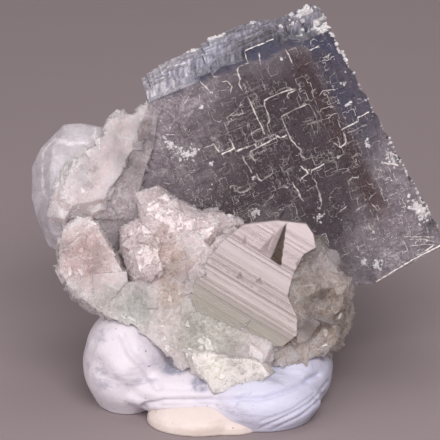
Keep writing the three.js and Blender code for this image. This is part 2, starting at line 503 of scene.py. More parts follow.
smoky = Finish("smoky_crystal")
wander = 2.5 * (smoky.noise(2.5, detail=4) - 0.5)
across, down, inwards = (smoky.along(cube_to_world, axis) for axis in np.eye(3))
from_right = CUBE_WIDTH + WIDENING * down - across + wander
left_haze = 1 - smoky.distance_from(cube_to_world @ Vector((-3, 3, 0))).ramped(3.5, 15.5)
top_haze = 1 - (down + wander).ramped(-0.5, 4.5)
low_right = (0.8 * across + 0.6 * down + 1.5 * wander).ramped(25.5, 30)
top_line = 1 - (down + wander).ramped(-0.4, 0.6)
blue_rim = ((1 - from_right.ramped(2.8, 4.2)) * (1 - low_right) + top_line).clamped()
near_face = 1 - 0.7 * inwards.ramped(0.3, 2)
brown_strip = from_right.ramped(3.2, 4.4) * (1 - from_right.ramped(5.6, 7.0))
brown_strip = brown_strip * (1 - down.ramped(20, 26)) * down.ramped(0, 2)
low_streak = 1 - smoky.distance_from(cube_to_world @ Vector((20.4, 28, 0))).ramped(0.4, 2.4)
on_plates = smoky.node("CombineXYZ", inputs=[across, 1.2 * down, 0.0])
mottle = 0.3 + 1.4 * (0.35 * smoky.cells(0.25) + 0.65 * smoky.noise(1.2, detail=5) - 0.2)
squares = [smoky.cells(size, on_plates, "CHEBYCHEV") for size in (2.6, 0.9)]
mottle = mottle * (0.45 + 0.7 * squares[0] + 0.5 * squares[1])
drawn_inwards = smoky.node("CombineXYZ", inputs=[across, down, 0.12 * inwards])
streaks_in_depth = smoky.noise(0.5, detail=4, at=drawn_inwards)
haze_share = (
    0.01
    + 0.05 * down.ramped(14, 24)
    + 0.15 * low_streak
    + 0.40 * left_haze
    + 0.14 * top_haze
    + (0.25 * low_right + 0.1 * down.ramped(27, 30)) * near_face
    + 0.24 * blue_rim * near_face
    + 0.09 * brown_strip
    + 0.4 * inwards.ramped(0.2, 1.5) * streaks_in_depth.ramped(0.42, 0.66)
) * mottle
haze_colour = smoky.mixed(blue_rim, LILAC_HAZE, BLUE_HAZE)
haze_colour = smoky.mixed(brown_strip, haze_colour, BROWN_HAZE)
smoky_clear = clear_crystal(smoky, 0.02 + 0.08 * smoky.noise(1.1).ramped(0.4, 0.75))
smoky.surface(hazed(smoky, smoky_clear, haze_share.clamped(), haze_colour)).absorbs(*SMOKE)

side = Finish("frosted_side")
along_edge = side.along(cube_to_world, (1, 0, 0)) + 3 * (side.noise(2.5, detail=3) - 0.5)
left_end = 1 - along_edge.ramped(4, 9)
dark_part = along_edge.ramped(9, 13)
deeper = side.along(cube_to_world, (0, 0, 1)).ramped(0, 13)
streaked = side.node("Mapping", inputs={"Vector": side.spot, "Scale": (2.6, 0.4, 0.5)})
side_patches = 0.7 * side.noise(0.8, detail=5, at=streaked) + 0.3 * side.noise(2.5, detail=3)
side_patches = side_patches.ramped(0.38, 0.66)
side_colour = side.mixed(side_patches, (0.50, 0.51, 0.62), (0.82, 0.83, 0.95))
side_colour = side.mixed(0.9 * left_end * side_patches, side_colour, (1.0, 0.98, 1.0))
side_share = 0.30 + 0.16 * left_end + 0.25 * side_patches + 0.28 * deeper - 0.24 * dark_part
side.surface(hazed(side, clear_crystal(side, 0.2), side_share.clamped(), side_colour)).absorbs(*SMOKE)

broken_back = Finish("broken_back")
broken_back.surface(clear_crystal(broken_back, 0.35 + 0.3 * broken_back.cells(1.5))).absorbs(*SMOKE)

heart = Finish("brown_heart")
unbent = heart.shader(
    Base_Color=(1, 1, 1, 1), Roughness=0.01 * heart.noise(3), IOR=1.0, Transmission_Weight=1.0
)
heart.surface(unbent).absorbs((0.46, 0.34, 0.34), 20)

rims = Finish("step_rims")
rim_shine = (rims.marked("bright") * (0.6 + 0.8 * rims.noise(0.8))).clamped()
rims.surface(
    rims.shader(
        Base_Color=rims.mixed(rim_shine, (0.20, 0.18, 0.19), (1.0, 0.97, 0.93)),
        Roughness=0.3,
        IOR=FLUORITE_IOR,
        Normal=rims.bump(rims.noise(0.2), 0.02),
    )
)

# %% [markdown]
# ## White, pink and lilac crystal
#
# Broken or granular fluorite scatters light, so it looks white with a breath of colour. Under the surface
# the light spreads a little, which subsurface scattering gives, and every tiny face has its own shade and
# gloss. In some places, the windows, there are fewer cracks and the crystal is clear. A honey-coloured part
# is clear nearly everywhere.

# %% Finishes: frosted crystal in several colours
def frosted(
    name, base, stains=(), *, grain=0.4, patch=2.2, contrast=0.84, veined=0.5, gloss=(0.1, 0.3),
    window=0.42, clear=0, dent=0.008, milky_depth=0.002,
):
    """Granular crystal with clear windows. Stains, each (place, reach, colour), tint it near a place."""
    finish = Finish(name)
    grains = finish.cells(grain)
    fine = finish.cells(grain * 0.4)
    colour = base
    wander = 2.4 * (finish.noise(1.8, detail=4) - 0.5)
    for place_at, reach, stain in stains:
        share = finish.distance_from(leaning @ Vector(place_at)) + wander
        colour = finish.mixed(1 - share.ramped(0.3 * reach, reach), colour, stain)
    patches = finish.noise(patch, detail=5, roughness=0.6) + 0.1 * grains + 0.1 * fine - 0.1
    shade = finish.mixed(patches.ramped(0.32, 0.62), (contrast,) * 3, WHITE)
    colour = finish.mixed(1.0, colour, shade, "MULTIPLY")
    cracks = finish.veins(1.3, 0.12) * finish.noise(1.5).ramped(0.4, 0.6) + 0.7 * finish.veins(0.55, 0.08)
    colour = finish.mixed((veined * cracks).clamped(), colour, (1.0, 0.99, 0.99))
    rough = gloss[0] + (gloss[1] - gloss[0]) * grains
    relief = finish.bump(grains + 0.5 * fine, dent)
    milky = finish.shader(
        Base_Color=colour,
        Roughness=rough,
        IOR=FLUORITE_IOR,
        Transmission_Weight=0.15,
        Subsurface_Weight=0.8,
        Subsurface_Radius=(1.0, 0.88, 0.85),
        Subsurface_Scale=milky_depth,
        Coat_Weight=0.4,
        Coat_Roughness=0.2,
        Coat_IOR=1.5,
        Normal=relief,
    )
    clearer = finish.shader(
        Base_Color=colour, Roughness=rough, IOR=FLUORITE_IOR, Transmission_Weight=1.0, Normal=relief
    )
    windows = clear + window * finish.noise(2 * patch, detail=3).ramped(0.42, 0.68)
    return finish.surface(finish.node("MixShader", inputs=[windows.clamped(), milky, clearer]))


CLUSTER_STAINS = [
    ((-17, -7, 26), 5, (1.0, 0.95, 0.98)),
    ((-11, -7, 26), 4, (1.0, 0.88, 0.90)),
    ((-14.5, -9, 15.8), 5, (0.64, 0.50, 0.48)),
    ((0, -9, 7), 7.5, (0.54, 0.53, 0.47)),
    ((-9, -9, 9.5), 4.4, (0.62, 0.65, 0.60)),
    ((-12, -9, 10.4), 3, (0.60, 0.585, 0.55)),
    ((-16.2, -9, 11.2), 2.2, (0.92, 0.88, 0.86)),
    ((-4.8, -9, 9.2), 3.2, (0.60, 0.555, 0.525)),
    ((-5.4, -9, 17), 3.6, (0.56, 0.45, 0.42)),
    ((-0.6, -9, 16.4), 2.6, (0.66, 0.57, 0.54)),
    ((-4.5, -9, 11.8), 3, (0.62, 0.51, 0.44)),
    ((-4.4, -9, 15), 3.2, (0.70, 0.55, 0.49)),
    ((-1.9, -9, 15.8), 1.8, (0.95, 0.84, 0.66)),
]
HONEY_STAINS = [
    ((13.5, -8, 15), 4, (0.88, 0.80, 0.80)),
    ((11.5, -8, 11.5), 3.4, (0.62, 0.48, 0.38)),
    ((15.5, -8, 8), 4, (1.0, 0.84, 0.66)),
    ((9, -8, 3.4), 3.4, (1.0, 0.90, 0.87)),
]
cluster_crystal = frosted("cluster_crystal", (0.91, 0.83, 0.84), CLUSTER_STAINS)
crest_crystal = frosted("crest_crystal", (0.70, 0.60, 0.61), CLUSTER_STAINS, veined=0.6, window=0.2)
green_crystal = frosted("green_crystal", (0.88, 0.81, 0.81), CLUSTER_STAINS, veined=0.4, window=0.4)
honey_crystal = frosted(
    "honey_crystal", (0.86, 0.74, 0.64), HONEY_STAINS, grain=0.8, contrast=0.7, veined=0.8,
    gloss=(0.0, 0.06), window=0.4, clear=0.42, dent=0.004,
)
grey_crystal = frosted("grey_crystal", (0.46, 0.41, 0.43), veined=0.3, window=0.6)
frost = frosted(
    "frost", (1.0, 0.97, 0.99), grain=0.3, contrast=0.65, gloss=(0.05, 0.25), window=0, milky_depth=0.0003,
)
lilac_crystal = frosted(
    "lilac_crystal", (0.95, 0.91, 0.95), grain=1.5, patch=7, contrast=0.9, veined=0,
    gloss=(0.15, 0.3), window=0.1, dent=0.001,
)
chip_crystal = frosted("chip_crystal", (0.82, 0.78, 0.73), [((0.6, -13, 2.6), 2, (0.82, 0.81, 0.72))])

ice = Finish("milky_ice")
ice_clouds = ice.noise(3.5, detail=4).ramped(0.3, 0.7)
# Along the lobe's edges the haze thickens and the colour turns whiter: partly frost, partly a painted
# highlight.
frost_and_painted_glint = ice.marked("edge") * ice.noise(1.2, detail=3).ramped(0.35, 0.6)
ice_share = (0.40 + 0.3 * ice_clouds + 0.3 * frost_and_painted_glint).clamped()
ice_colour = ice.mixed(frost_and_painted_glint, (0.90, 0.87, 0.93), (1.0, 0.98, 1.0))
ice_clear = clear_crystal(ice, 0.06 + 0.1 * ice_clouds)
ice.surface(hazed(ice, ice_clear, ice_share, ice_colour)).absorbs((0.7, 0.68, 0.74), 20)

STRIPES = radians(31)  # the slope of the striated face's stripes
cleavage = Finish("cleavage_crystal")
up_the_stripes = cleavage.along(leaning, (sin(STRIPES), 0, cos(STRIPES))) + 0.1 * cleavage.noise(2.5)
values = {"W": up_the_stripes, "Scale": 5, "Detail": 8, "Roughness": 0.7}
stripes = cleavage.node("TexNoise", {"noise_dimensions": "1D"}, values).ramped(0.38, 0.6)
below = 1 - (up_the_stripes + cleavage.noise(2) - 0.5).ramped(8.5, 11.5)
pinkish = cleavage.mixed(up_the_stripes.ramped(11, 20), (0.45, 0.40, 0.39), (0.56, 0.49, 0.50))
face_colour = cleavage.mixed(below, pinkish, (0.44, 0.43, 0.38))
stripe_shade = cleavage.mixed(stripes, (0.86, 0.84, 0.82), WHITE)
face_colour = cleavage.mixed(0.8, face_colour, stripe_shade, "MULTIPLY")
# The pit mark paints shade: it mixes a dark brown into the face's colour on the largest pit's unlit wall and
# the floor beside it.
cleavage.surface(
    cleavage.shader(
        Base_Color=cleavage.mixed(cleavage.marked("pit"), face_colour, (0.10, 0.075, 0.06)),
        Roughness=0.12 + 0.15 * cleavage.noise(1.5),
        IOR=FLUORITE_IOR,
        Transmission_Weight=0.1,
        Subsurface_Weight=0.5,
        Subsurface_Radius=(1.0, 0.9, 0.85),
        Subsurface_Scale=0.0012,
    )
)

# %% [markdown]
# Putty has been kneaded: its two shades are drawn out into each other, with dust and dirt folded in.
# Stretching the place that a noise is read at stretches its lumps into such streaks. Round the chip and along
# the crystal's foot it is darker, partly from dirt and partly from painted shade.

# %% Finishes: the putty
def kneaded(name, deep, left, right, speck, dirt_and_shade=()):
    """Soft putty: two shades drawn into each other by kneading, with dark specks and places darkened by dirt
    and painted shade.
    """
    finish = Finish(name)
    drawn = finish.node("Mapping", inputs={"Vector": finish.spot, "Scale": (0.3, 1.0, 1.7)})
    across = finish.node("SeparateXYZ", inputs=[finish.spot])
    share = across + 9 * (finish.noise(4, detail=3, at=drawn) - 0.5)
    colour = finish.mixed(share.ramped(-8, 4), left, right)
    streaks = finish.noise(3.0, detail=5, roughness=0.65, at=drawn).ramped(0.52, 0.70)
    colour = finish.mixed(0.7 * streaks, colour, deep)
    dirt_and_shade_noise = finish.noise(1.2, detail=5, roughness=0.7)
    # Each place is darkened towards the deep colour: partly dirt, partly painted shade where the putty meets
    # the chip and the crystal.
    for place_at, reach in dirt_and_shade:
        near = 1 - finish.distance_from(leaning @ Vector(place_at)).ramped(0.3 * reach, reach)
        colour = finish.mixed((1.6 * near * dirt_and_shade_noise.ramped(0.3, 0.65)).clamped(), colour, deep)
    specks = finish.noise(0.5, detail=1).ramped(0.72, 0.78)
    colour = finish.mixed(specks, colour, speck)
    return finish.surface(
        finish.shader(
            Base_Color=colour,
            Roughness=0.32 + 0.2 * finish.noise(1.2),
            Subsurface_Weight=0.2,
            Subsurface_Radius=(0.9, 0.9, 1.0),
            Subsurface_Scale=0.0012,
            Normal=finish.bump(finish.noise(0.9, detail=6, roughness=0.65), 0.12),
        )
    )


# The blue putty's darkened places sit round the chip and along the crystal's foot: partly dirt, partly
# painted shade.
blue_putty = kneaded(
    "blue_putty_finish", (0.36, 0.37, 0.46), (0.80, 0.77, 0.83), (0.68, 0.70, 0.85), (0.3, 0.3, 0.34),
    [((-8.5, -8, 4), 4), ((-4, -9.5, 2), 2.5), ((3, -10, 0), 2), ((-1.2, -12, 0.6), 1.6)],
)
cream_putty = kneaded(
    "cream_putty_finish", (0.68, 0.57, 0.50), (0.82, 0.74, 0.69), (0.80, 0.71, 0.66), (0.4, 0.32, 0.26),
)

# %% [markdown]
# ## Shards
#
# A broken crystal shows flat, sharp-edged faces at every size. Pushing a smooth skin in and out can't give
# those, because it rounds them. So broken pieces get shards joined to them: boxes with broken corners, sunk
# so deep that only a corner or an edge stands out. Each shard takes the finish of the face that it sits on,
# and a boolean union makes all of it one closed skin.

# %% Cutting, and joining shards
UNDERSIDE = 2.2  # height of the broken underside above the ground
DOWN = Vector((0, sin(radians(LEAN)), -cos(radians(LEAN))))
FLAT_BELOW = (-DOWN * UNDERSIDE, DOWN)  # the cut that all growths end in
OVERSHOOT = (1.3, 0.15)  # how far a shard may stick out: a share of what it should, and millimetres more


def cut_away(shape, point, outwards):
    """Takes off everything beyond a plane and closes the cut."""
    everything = shape.verts[:] + shape.edges[:] + shape.faces[:]
    cut = bmesh.ops.bisect_plane(
        shape, geom=everything, plane_co=point, plane_no=outwards, clear_outer=True
    )
    rim = [e for e in cut["geom_cut"] if isinstance(e, bmesh.types.BMEdge)]
    bmesh.ops.contextual_create(shape, geom=rim)


def shard(size, lattice, chance):
    """A box about size across with three broken corners, turned nearly as the block's own lattice is."""
    shape = bmesh.new()
    half = size * chance.uniform(0.3, 0.65, 3)
    bmesh.ops.create_cube(shape, size=2, matrix=Matrix.Diagonal((*half, 1)))
    for _ in range(3):
        outwards = Vector(chance.choice((-1.0, 1.0), 3)).normalized()
        cut_away(shape, outwards * size * chance.uniform(0.28, 0.5), outwards)
    loose = Euler(chance.normal(0, 0.5, 3)).to_matrix()
    bmesh.ops.rotate(shape, verts=shape.verts, matrix=lattice @ loose)
    return shape


def spots_on(made, number, per_area, chance):
    """Points spread over one material of a piece, so many to the square millimetre, each with the way out."""
    made.data.calc_loop_triangles()
    chosen = [t for t in made.data.loop_triangles if t.material_index == number]
    corners = np.array([[made.data.vertices[i].co for i in t.vertices] for t in chosen])
    sides = corners[:, 1:] - corners[:, :1]
    across = np.cross(sides[:, 0], sides[:, 1])
    area = np.linalg.norm(across, axis=1) / 2
    count = int(area.sum() * per_area)
    rows = chance.choice(len(area), count, p=area / area.sum())
    share = chance.uniform(size=(count, 2))
    share = np.where(share.sum(axis=1, keepdims=True) > 1, 1 - share, share)
    points = corners[rows, 0] + (share[:, :, None] * sides[rows]).sum(axis=1)
    return zip(points, across[rows] / (2 * area[rows, None]))


def cut_piece(made, cuts):
    """Planes that cut the piece, each (a point on it, its outward direction)."""
    shape = bmesh.new()
    shape.from_mesh(made.data)
    for point, outwards in cuts:
        cut_away(shape, Vector(point), Vector(outwards).normalized())
    shape.to_mesh(made.data)
    shape.free()


def studded(made, materials, shards, seed):
    """Joins shards to a piece, from {material number: [(how many to the mm2, size, how far out)]}."""
    chance = np.random.default_rng(seed)
    skin = skin_of(made)
    studs = []
    for number, kinds in shards.items():
        lattice = Quaternion(chance.normal(size=4)).normalized().to_matrix()
        for per_area, size, stands_out in kinds:
            for spot, outwards in spots_on(made, number, per_area, chance):
                one_size = size * chance.uniform(0.5, 1.2)
                shape = shard(one_size, lattice, chance)
                outwards = Vector(outwards)
                reach = max(vertex.co @ outwards for vertex in shape.verts)
                lift = stands_out * one_size * chance.uniform(0.2, 1) - reach
                bmesh.ops.translate(shape, verts=shape.verts, vec=Vector(spot) + outwards * lift)
                near = [(v.co, *skin.find_nearest(v.co)) for v in shape.verts]
                highest = max((at - foot) @ normal for at, foot, normal, _, _ in near)
                if highest > OVERSHOOT[0] * stands_out * size + OVERSHOOT[1]:
                    shape.free()
                else:
                    studs.append(finished(poured("shard", shape), materials, number))
    print(made.name, "gets", len(studs), "shards")
    united(made, studs)

# %% [markdown]
# ## The smoky cube
#
# The crystal is a prism on the outline of its face, with its hidden back corners lost along fluorite's
# natural cleavage. The face isn't flat: it is a mosaic of low plates, each with a narrow bright rim.
# Boolean unions join the plates to the prism, so light passes through one clean closed skin.

# %% The cube's body
CUBE_DEPTH = 18
CUBE_FALL = 29.4
CUBE_STEPS = 10
CUBE_FLARE = 3.6
CUBE_FOOT = [(17.3, 30.6), (2.7, 26.4), (-11, 18.2), (-11.5, 12.5), (-9.6, 9.5), (-0.5, 3.6)]
CLEAVED = [
    ((CUBE_WIDTH + CUBE_FLARE, CUBE_FALL, CUBE_DEPTH), (-1, -1, -1), 0.7),
    ((CUBE_WIDTH, 0, CUBE_DEPTH), (-1, 1, -1), 1),
    ((-9, 17, CUBE_DEPTH), (1, -1, -1), 2),
]


def cube_outline():
    """The face's outline: the right edge in steps, and the foot of the cube along the cluster."""
    outline = [(0, 0)]
    for step in range(CUBE_STEPS):
        x = CUBE_WIDTH + CUBE_FLARE * step / (CUBE_STEPS - 1)
        outline += [(x, CUBE_FALL * step / CUBE_STEPS), (x, CUBE_FALL * (step + 1) / CUBE_STEPS)]
    return outline + CUBE_FOOT


def prism(outline, near, far):
    """An outline in the cube's frame, carried from one depth to another."""
    shape = bmesh.new()
    ring = [shape.verts.new((x, y, near)) for x, y in outline]
    base = shape.faces.new(ring)
    raised = bmesh.ops.extrude_face_region(shape, geom=[base])
    moved = [v for v in raised["geom"] if isinstance(v, bmesh.types.BMVert)]
    bmesh.ops.translate(shape, verts=moved, vec=(0, 0, far - near))
    bmesh.ops.recalc_face_normals(shape, faces=shape.faces)
    return shape


body = prism(cube_outline(), 0, CUBE_DEPTH)
for corner, inwards, lost in CLEAVED:
    inside = Vector(inwards).normalized()
    cut_away(body, Vector(corner) + inside * lost, -inside)
for face in body.faces:
    if face.normal.y < -0.8:
        face.material_index = 1
    elif max(abs(v) for v in face.normal) < 0.9 and face.normal.z > 0.1:
        face.material_index = 2
cube = poured("smoky_cube", body)
CUBE_MATERIALS = [smoky.material, side.material, broken_back.material]
print("cube body:", len(cube.data.polygons), "faces")

# %% [markdown]
# The plates follow the cube's own edges, because they are earlier, smaller cube faces. A few large ones are
# listed where the strongest steps are. Many small ones are scattered at random over the rest of the face.
# Real step edges run straight for a while and then jog sideways, so each side of a plate gets a few jogs.

# %% The mosaic of plates
RIM = 0.07
STRONG_PLATES = [
    # left, top, right, bottom, height
    (12.9, 4.9, 17.2, 9.0, 0.10),
    (14.3, 7.3, 17.8, 13.0, 0.16),
    (11.4, 0.2, 13.4, 8.6, 0.07),
    (9.2, 10.1, 14.0, 14.4, 0.12),
    (5.7, 9.3, 10.6, 14.0, 0.08),
    (14.8, 14.8, 18.1, 20.0, 0.12),
    (12.6, 15.3, 14.9, 19.6, 0.09),
    (20.4, 11.6, 24.0, 15.5, 0.09),
    (21.0, 12.3, 24.2, 17.0, 0.13),
    (13.1, 0.1, 17.1, 3.8, 0.06),
    (17.6, 0.4, 20.4, 4.6, 0.07),
    (3.5, 1.8, 6.9, 6.2, 0.06),
    (1.9, 7.4, 5.5, 11.5, 0.10),
    (7.0, 16.4, 12.0, 20.5, 0.08),
    (16.9, 20.7, 20.6, 25.4, 0.07),
]
mosaic_random = np.random.default_rng(5)


def jogged(left, top, right, bottom, jog):
    """A rectangle whose sides step sideways a little here and there, corner by corner."""
    corners = np.array([(left, top), (right, top), (right, bottom), (left, bottom)])
    outline = []
    for start, end in zip(corners, np.roll(corners, -1, axis=0)):
        length = np.abs(end - start).sum()
        along = (end - start) / length
        across = np.array([-along[1], along[0]])
        outline.append(start)
        for share in np.sort(mosaic_random.uniform(0.15, 0.85, 2 * int(length // 1.1))).reshape(-1, 2):
            shift = across * jog * mosaic_random.uniform(0.4, 1)
            first, last = start + along * length * share[0], start + along * length * share[1]
            outline += [first, first + shift, last + shift, last]
    return np.array(outline)


def plate(outline, height):
    """A low plate with narrow sloping sides, as points and faces."""
    edges = np.roll(outline, -1, axis=0) - outline
    inwards = np.column_stack([-edges[:, 1], edges[:, 0]]) / np.linalg.norm(edges, axis=1)[:, None]
    inner = outline + RIM * (inwards + np.roll(inwards, 1, axis=0))
    count = len(outline)
    levels = [(outline, 0.12), (outline, -0.01), (inner, -height)]
    points = np.concatenate([np.column_stack([ring, np.full(count, z)]) for ring, z in levels])
    return points, [range(count), range(2 * count, 3 * count), *between_rings(count, 2)]


def on_face(x, y):
    """True where the cube's face is, a little in from its edges."""
    right = CUBE_WIDTH + CUBE_FLARE * y / CUBE_FALL - 0.5
    left = 0.3 - 10 * ramp(y, 3, 9)
    return (0.3 < y < 29) & (left < x < right)


weak_plates = []
while len(weak_plates) < 300:
    x, y = mosaic_random.uniform(-9, 26), mosaic_random.uniform(0, 29)
    wide, tall = mosaic_random.lognormal(0.2, 0.55), mosaic_random.lognormal(0.4, 0.55)
    if on_face(x, y) and on_face(x + wide, y) and on_face(x, y + tall) and on_face(x + wide, y + tall):
        weak_plates.append((x, y, x + wide, y + tall, mosaic_random.uniform(0.02, 0.07)))

outlines = [(jogged(*sides[:4], 0.3), sides[4]) for sides in STRONG_PLATES + weak_plates]
cube_parts = []


def for_the_cube(one):
    """Keeps a part that the cube will be joined with."""
    outward(one)
    cube_parts.append(finished(one, CUBE_MATERIALS, 0))


for outline, height in outlines:
    for_the_cube(new_object("plate", *plate(outline, height)))
print(len(outlines), "plates")

# %% [markdown]
# Along the upper edge the cube has grown on in higher steps, each set back behind the one before. Seen from
# the front they carry the face on past its edge. Narrow bars of different heights lie over them, from front
# to back, and give the upper side its fine streaks.

# %% The steps and streaks of the upper side
UPPER_STEPS = [
    # front, back, outline
    (-0.04, 17.0, [
        (6.6, -0.7), (8.2, -0.65), (8.3, -0.25), (9.5, -0.8), (11.4, -0.45), (12.75, -0.5), (12.8, -1.45),
        (16.8, -1.55), (17.0, -0.5), (18.3, -0.9), (19.6, -0.1),
    ]),
    (3.0, 17.3, [(8.9, -1.0), (10.2, -1.3), (11.8, -1.2), (12.4, -1.8), (17.2, -1.9), (18.6, -0.9)]),
    (8.0, 17.5, [(9.3, -1.4), (12.3, -1.9), (15.9, -2.1), (16.2, -1.3), (17.9, -1.2)]),
    (5.0, 17.5, [(2.0, -0.3), (7.0, -0.5), (9.0, -0.9)]),
    (11.0, 17.6, [(4.5, -0.6), (8.8, -1.2), (9.5, -1.4)]),
    (9.0, 17.6, [(16.5, -0.9), (19.5, -1.0), (23.0, -0.7)]),
]
bars = []
for x in [*np.arange(0.1, 22, 0.85), *mosaic_random.uniform(0.2, 21.5, 40)]:
    width = mosaic_random.uniform(0.9, 2.2)
    height = np.interp(x, [0, 2, 8, 10, 15, 16, 22], [0.9, 1.5, 2.0, 2.5, 2.5, 1.7, 1.7])
    height *= mosaic_random.uniform(0.82, 1.0)
    front = 6.5 * height - mosaic_random.uniform(0, 4)
    bars.append((front, 17.6, [(x, -height), (x + width, 0.06 - height)]))
for front, back, top in UPPER_STEPS + bars:
    outline = [(top[0][0] - 0.1, 0.3), *top, (top[-1][0] + 0.1, 0.3)]
    for_the_cube(poured("upper_step", prism(outline, front, back)))
print(len(bars), "bars")

# %% [markdown]
# All of it becomes one skin. What then looks up, or lies above the face's upper edge, has the finish of the
# frosted side.

# %% Join the plates and steps to the cube
united(finished(cube, CUBE_MATERIALS), cube_parts)
for face in cube.data.polygons:
    if face.center.z > 0.3 and (face.normal.y < -0.6 or face.center.y < -0.05):
        face.material_index = 1
cube_skin = skin_of(cube)
place(cube, cube_to_world, [], *SPECIMEN)

# %% [markdown]
# Inside it is the brown heart: the same crystal at earlier ages. Three outlines, each drawn in a little
# more, give the heart a soft border instead of one hard line.

# %% The brown heart
HEART = np.array([
    (1, 1.6), (9, 1.8), (22.4, 1.2), (23.2, 8), (23.8, 14), (25, 27), (14, 28), (2, 22), (-7.5, 15.5),
    (-5, 8),
])
for number, kept in enumerate((1.0, 0.88, 0.74)):
    outline = HEART.mean(axis=0) + (HEART - HEART.mean(axis=0)) * kept
    outline += mosaic_random.normal(0, 0.35, outline.shape)
    inner = prism([tuple(corner) for corner in outline], 1.0 + number, CUBE_DEPTH - 1.2 - number)
    place(poured(f"cube_heart_{number + 1}", inner), cube_to_world, [heart.material], *SPECIMEN)

# %% [markdown]
# ## The bright edges of the steps
#
# Where a step is steep it is frosted, and catches the light as a thin white line. Each line is a low ridge
# with four sides, half sunk in the face. Its width wanders along its length, as a broken edge does. The
# longest ones have places of their own, and short ones are scattered between them.

# %% Ridges along the steps
STRONG_LINES = [
    [(11.6, 0), (11.2, 0.3), (11.15, 1.5), (10.8, 2), (10.9, 2.9)],
    [(11.2, 3.7), (11.3, 5), (11.4, 7), (11.5, 8.8)], [(12.8, -1.3), (12.7, -0.2), (12.8, 0)],
    [(12.8, -1.4), (13.1, -1.5), (16.6, -1.55)],
    [(12.2, 7.7), (12.55, 7.5), (12.75, 6.6), (12.7, 5.5), (12.9, 4.95), (14, 4.8), (15.75, 4.8), (16.9, 5)],
    [(17, 5.1), (15.9, 5.2), (15.6, 5.5), (15.7, 5.8)], [(12.2, 7.7), (12.1, 8.8)],
    [(17.5, 7.2), (16.1, 7.25), (14.8, 7.4), (14.1, 7.5), (14.1, 8.5), (14.2, 10.5), (14.6, 11.6),
     (14.9, 12.1), (14.6, 12.5), (14.65, 12.9), (15, 13.25)], [(7.6, 9.4), (10, 9.4), (10, 9.9)],
    [(9.2, 11.4), (9, 10.5), (9.1, 10.1), (10, 9.95), (11.3, 9.8), (12.7, 9.6), (12.8, 9.4), (13.1, 9.85),
     (14, 9.8)], [(8.1, 10.1), (8.1, 10.9), (8.35, 12.1), (8.4, 12.6)],
    [(8.85, 12.7), (8.9, 13.5), (9.1, 13.8), (10.75, 13.5)], [(2.2, 8), (3.5, 7.5)],
    [(4.2, 7.6), (5.4, 7.6), (5.5, 8.3), (5.7, 8.8)], [(5.7, 9.1), (7.5, 9), (7.4, 7.6)],
    [(14.1, 13.8), (14.3, 14.3), (14.6, 14.6), (14.6, 15.1), (13.5, 15.4), (13.5, 15.75)],
    [(15, 15.2), (15.2, 14.85), (16.1, 14.85), (16.9, 14.7)],
    [(15, 15.9), (15.2, 16.5), (15, 16.9), (15.1, 17.75), (15, 18.2), (14.9, 18.9), (14.6, 19.5)],
    [(12.5, 15.4), (12.55, 16), (12.8, 16.6), (12.8, 17.5), (12.95, 18.1)],
    [(17.45, 0), (17.6, 1), (17.6, 2)], [(14.4, -0.7), (14.2, 0), (14.05, 0.8)],
    [(19.8, 0.95), (20.1, 1.3), (21.35, 1.2)],
    [(20.3, 11.6), (21.25, 11.55), (22.5, 11.4), (22.6, 11), (24.1, 10.8)],
    [(20.8, 12.25), (22.25, 12.2), (22.6, 12.1), (23.4, 12.2)],
    [(20.3, 11.7), (20.4, 12.5), (20.3, 13.1), (19.8, 13.5), (19.4, 13.55), (19.1, 13.2), (18.9, 12.7)],
    [(18.8, 18.1), (18.8, 17.8), (19.4, 17.5), (20.1, 17.8), (20.2, 17.5)],
    [(6.7, -0.6), (6.6, 0.1), (7, 0.9), (7.5, 1.9)], [(19.2, 23.4), (19.3, 24.4)],
    [(18.2, 21.6), (19, 21.25), (19.8, 21.3)], [(24.4, 29.2), (25.6, 28.9)],
    [(23.2, 17.1), (24.6, 17.8), (25.1, 18.2)],
    [(26.6, 29.2), (25.2, 29.35), (23.7, 29.45), (20.9, 29.9), (17.6, 30.5)],
]
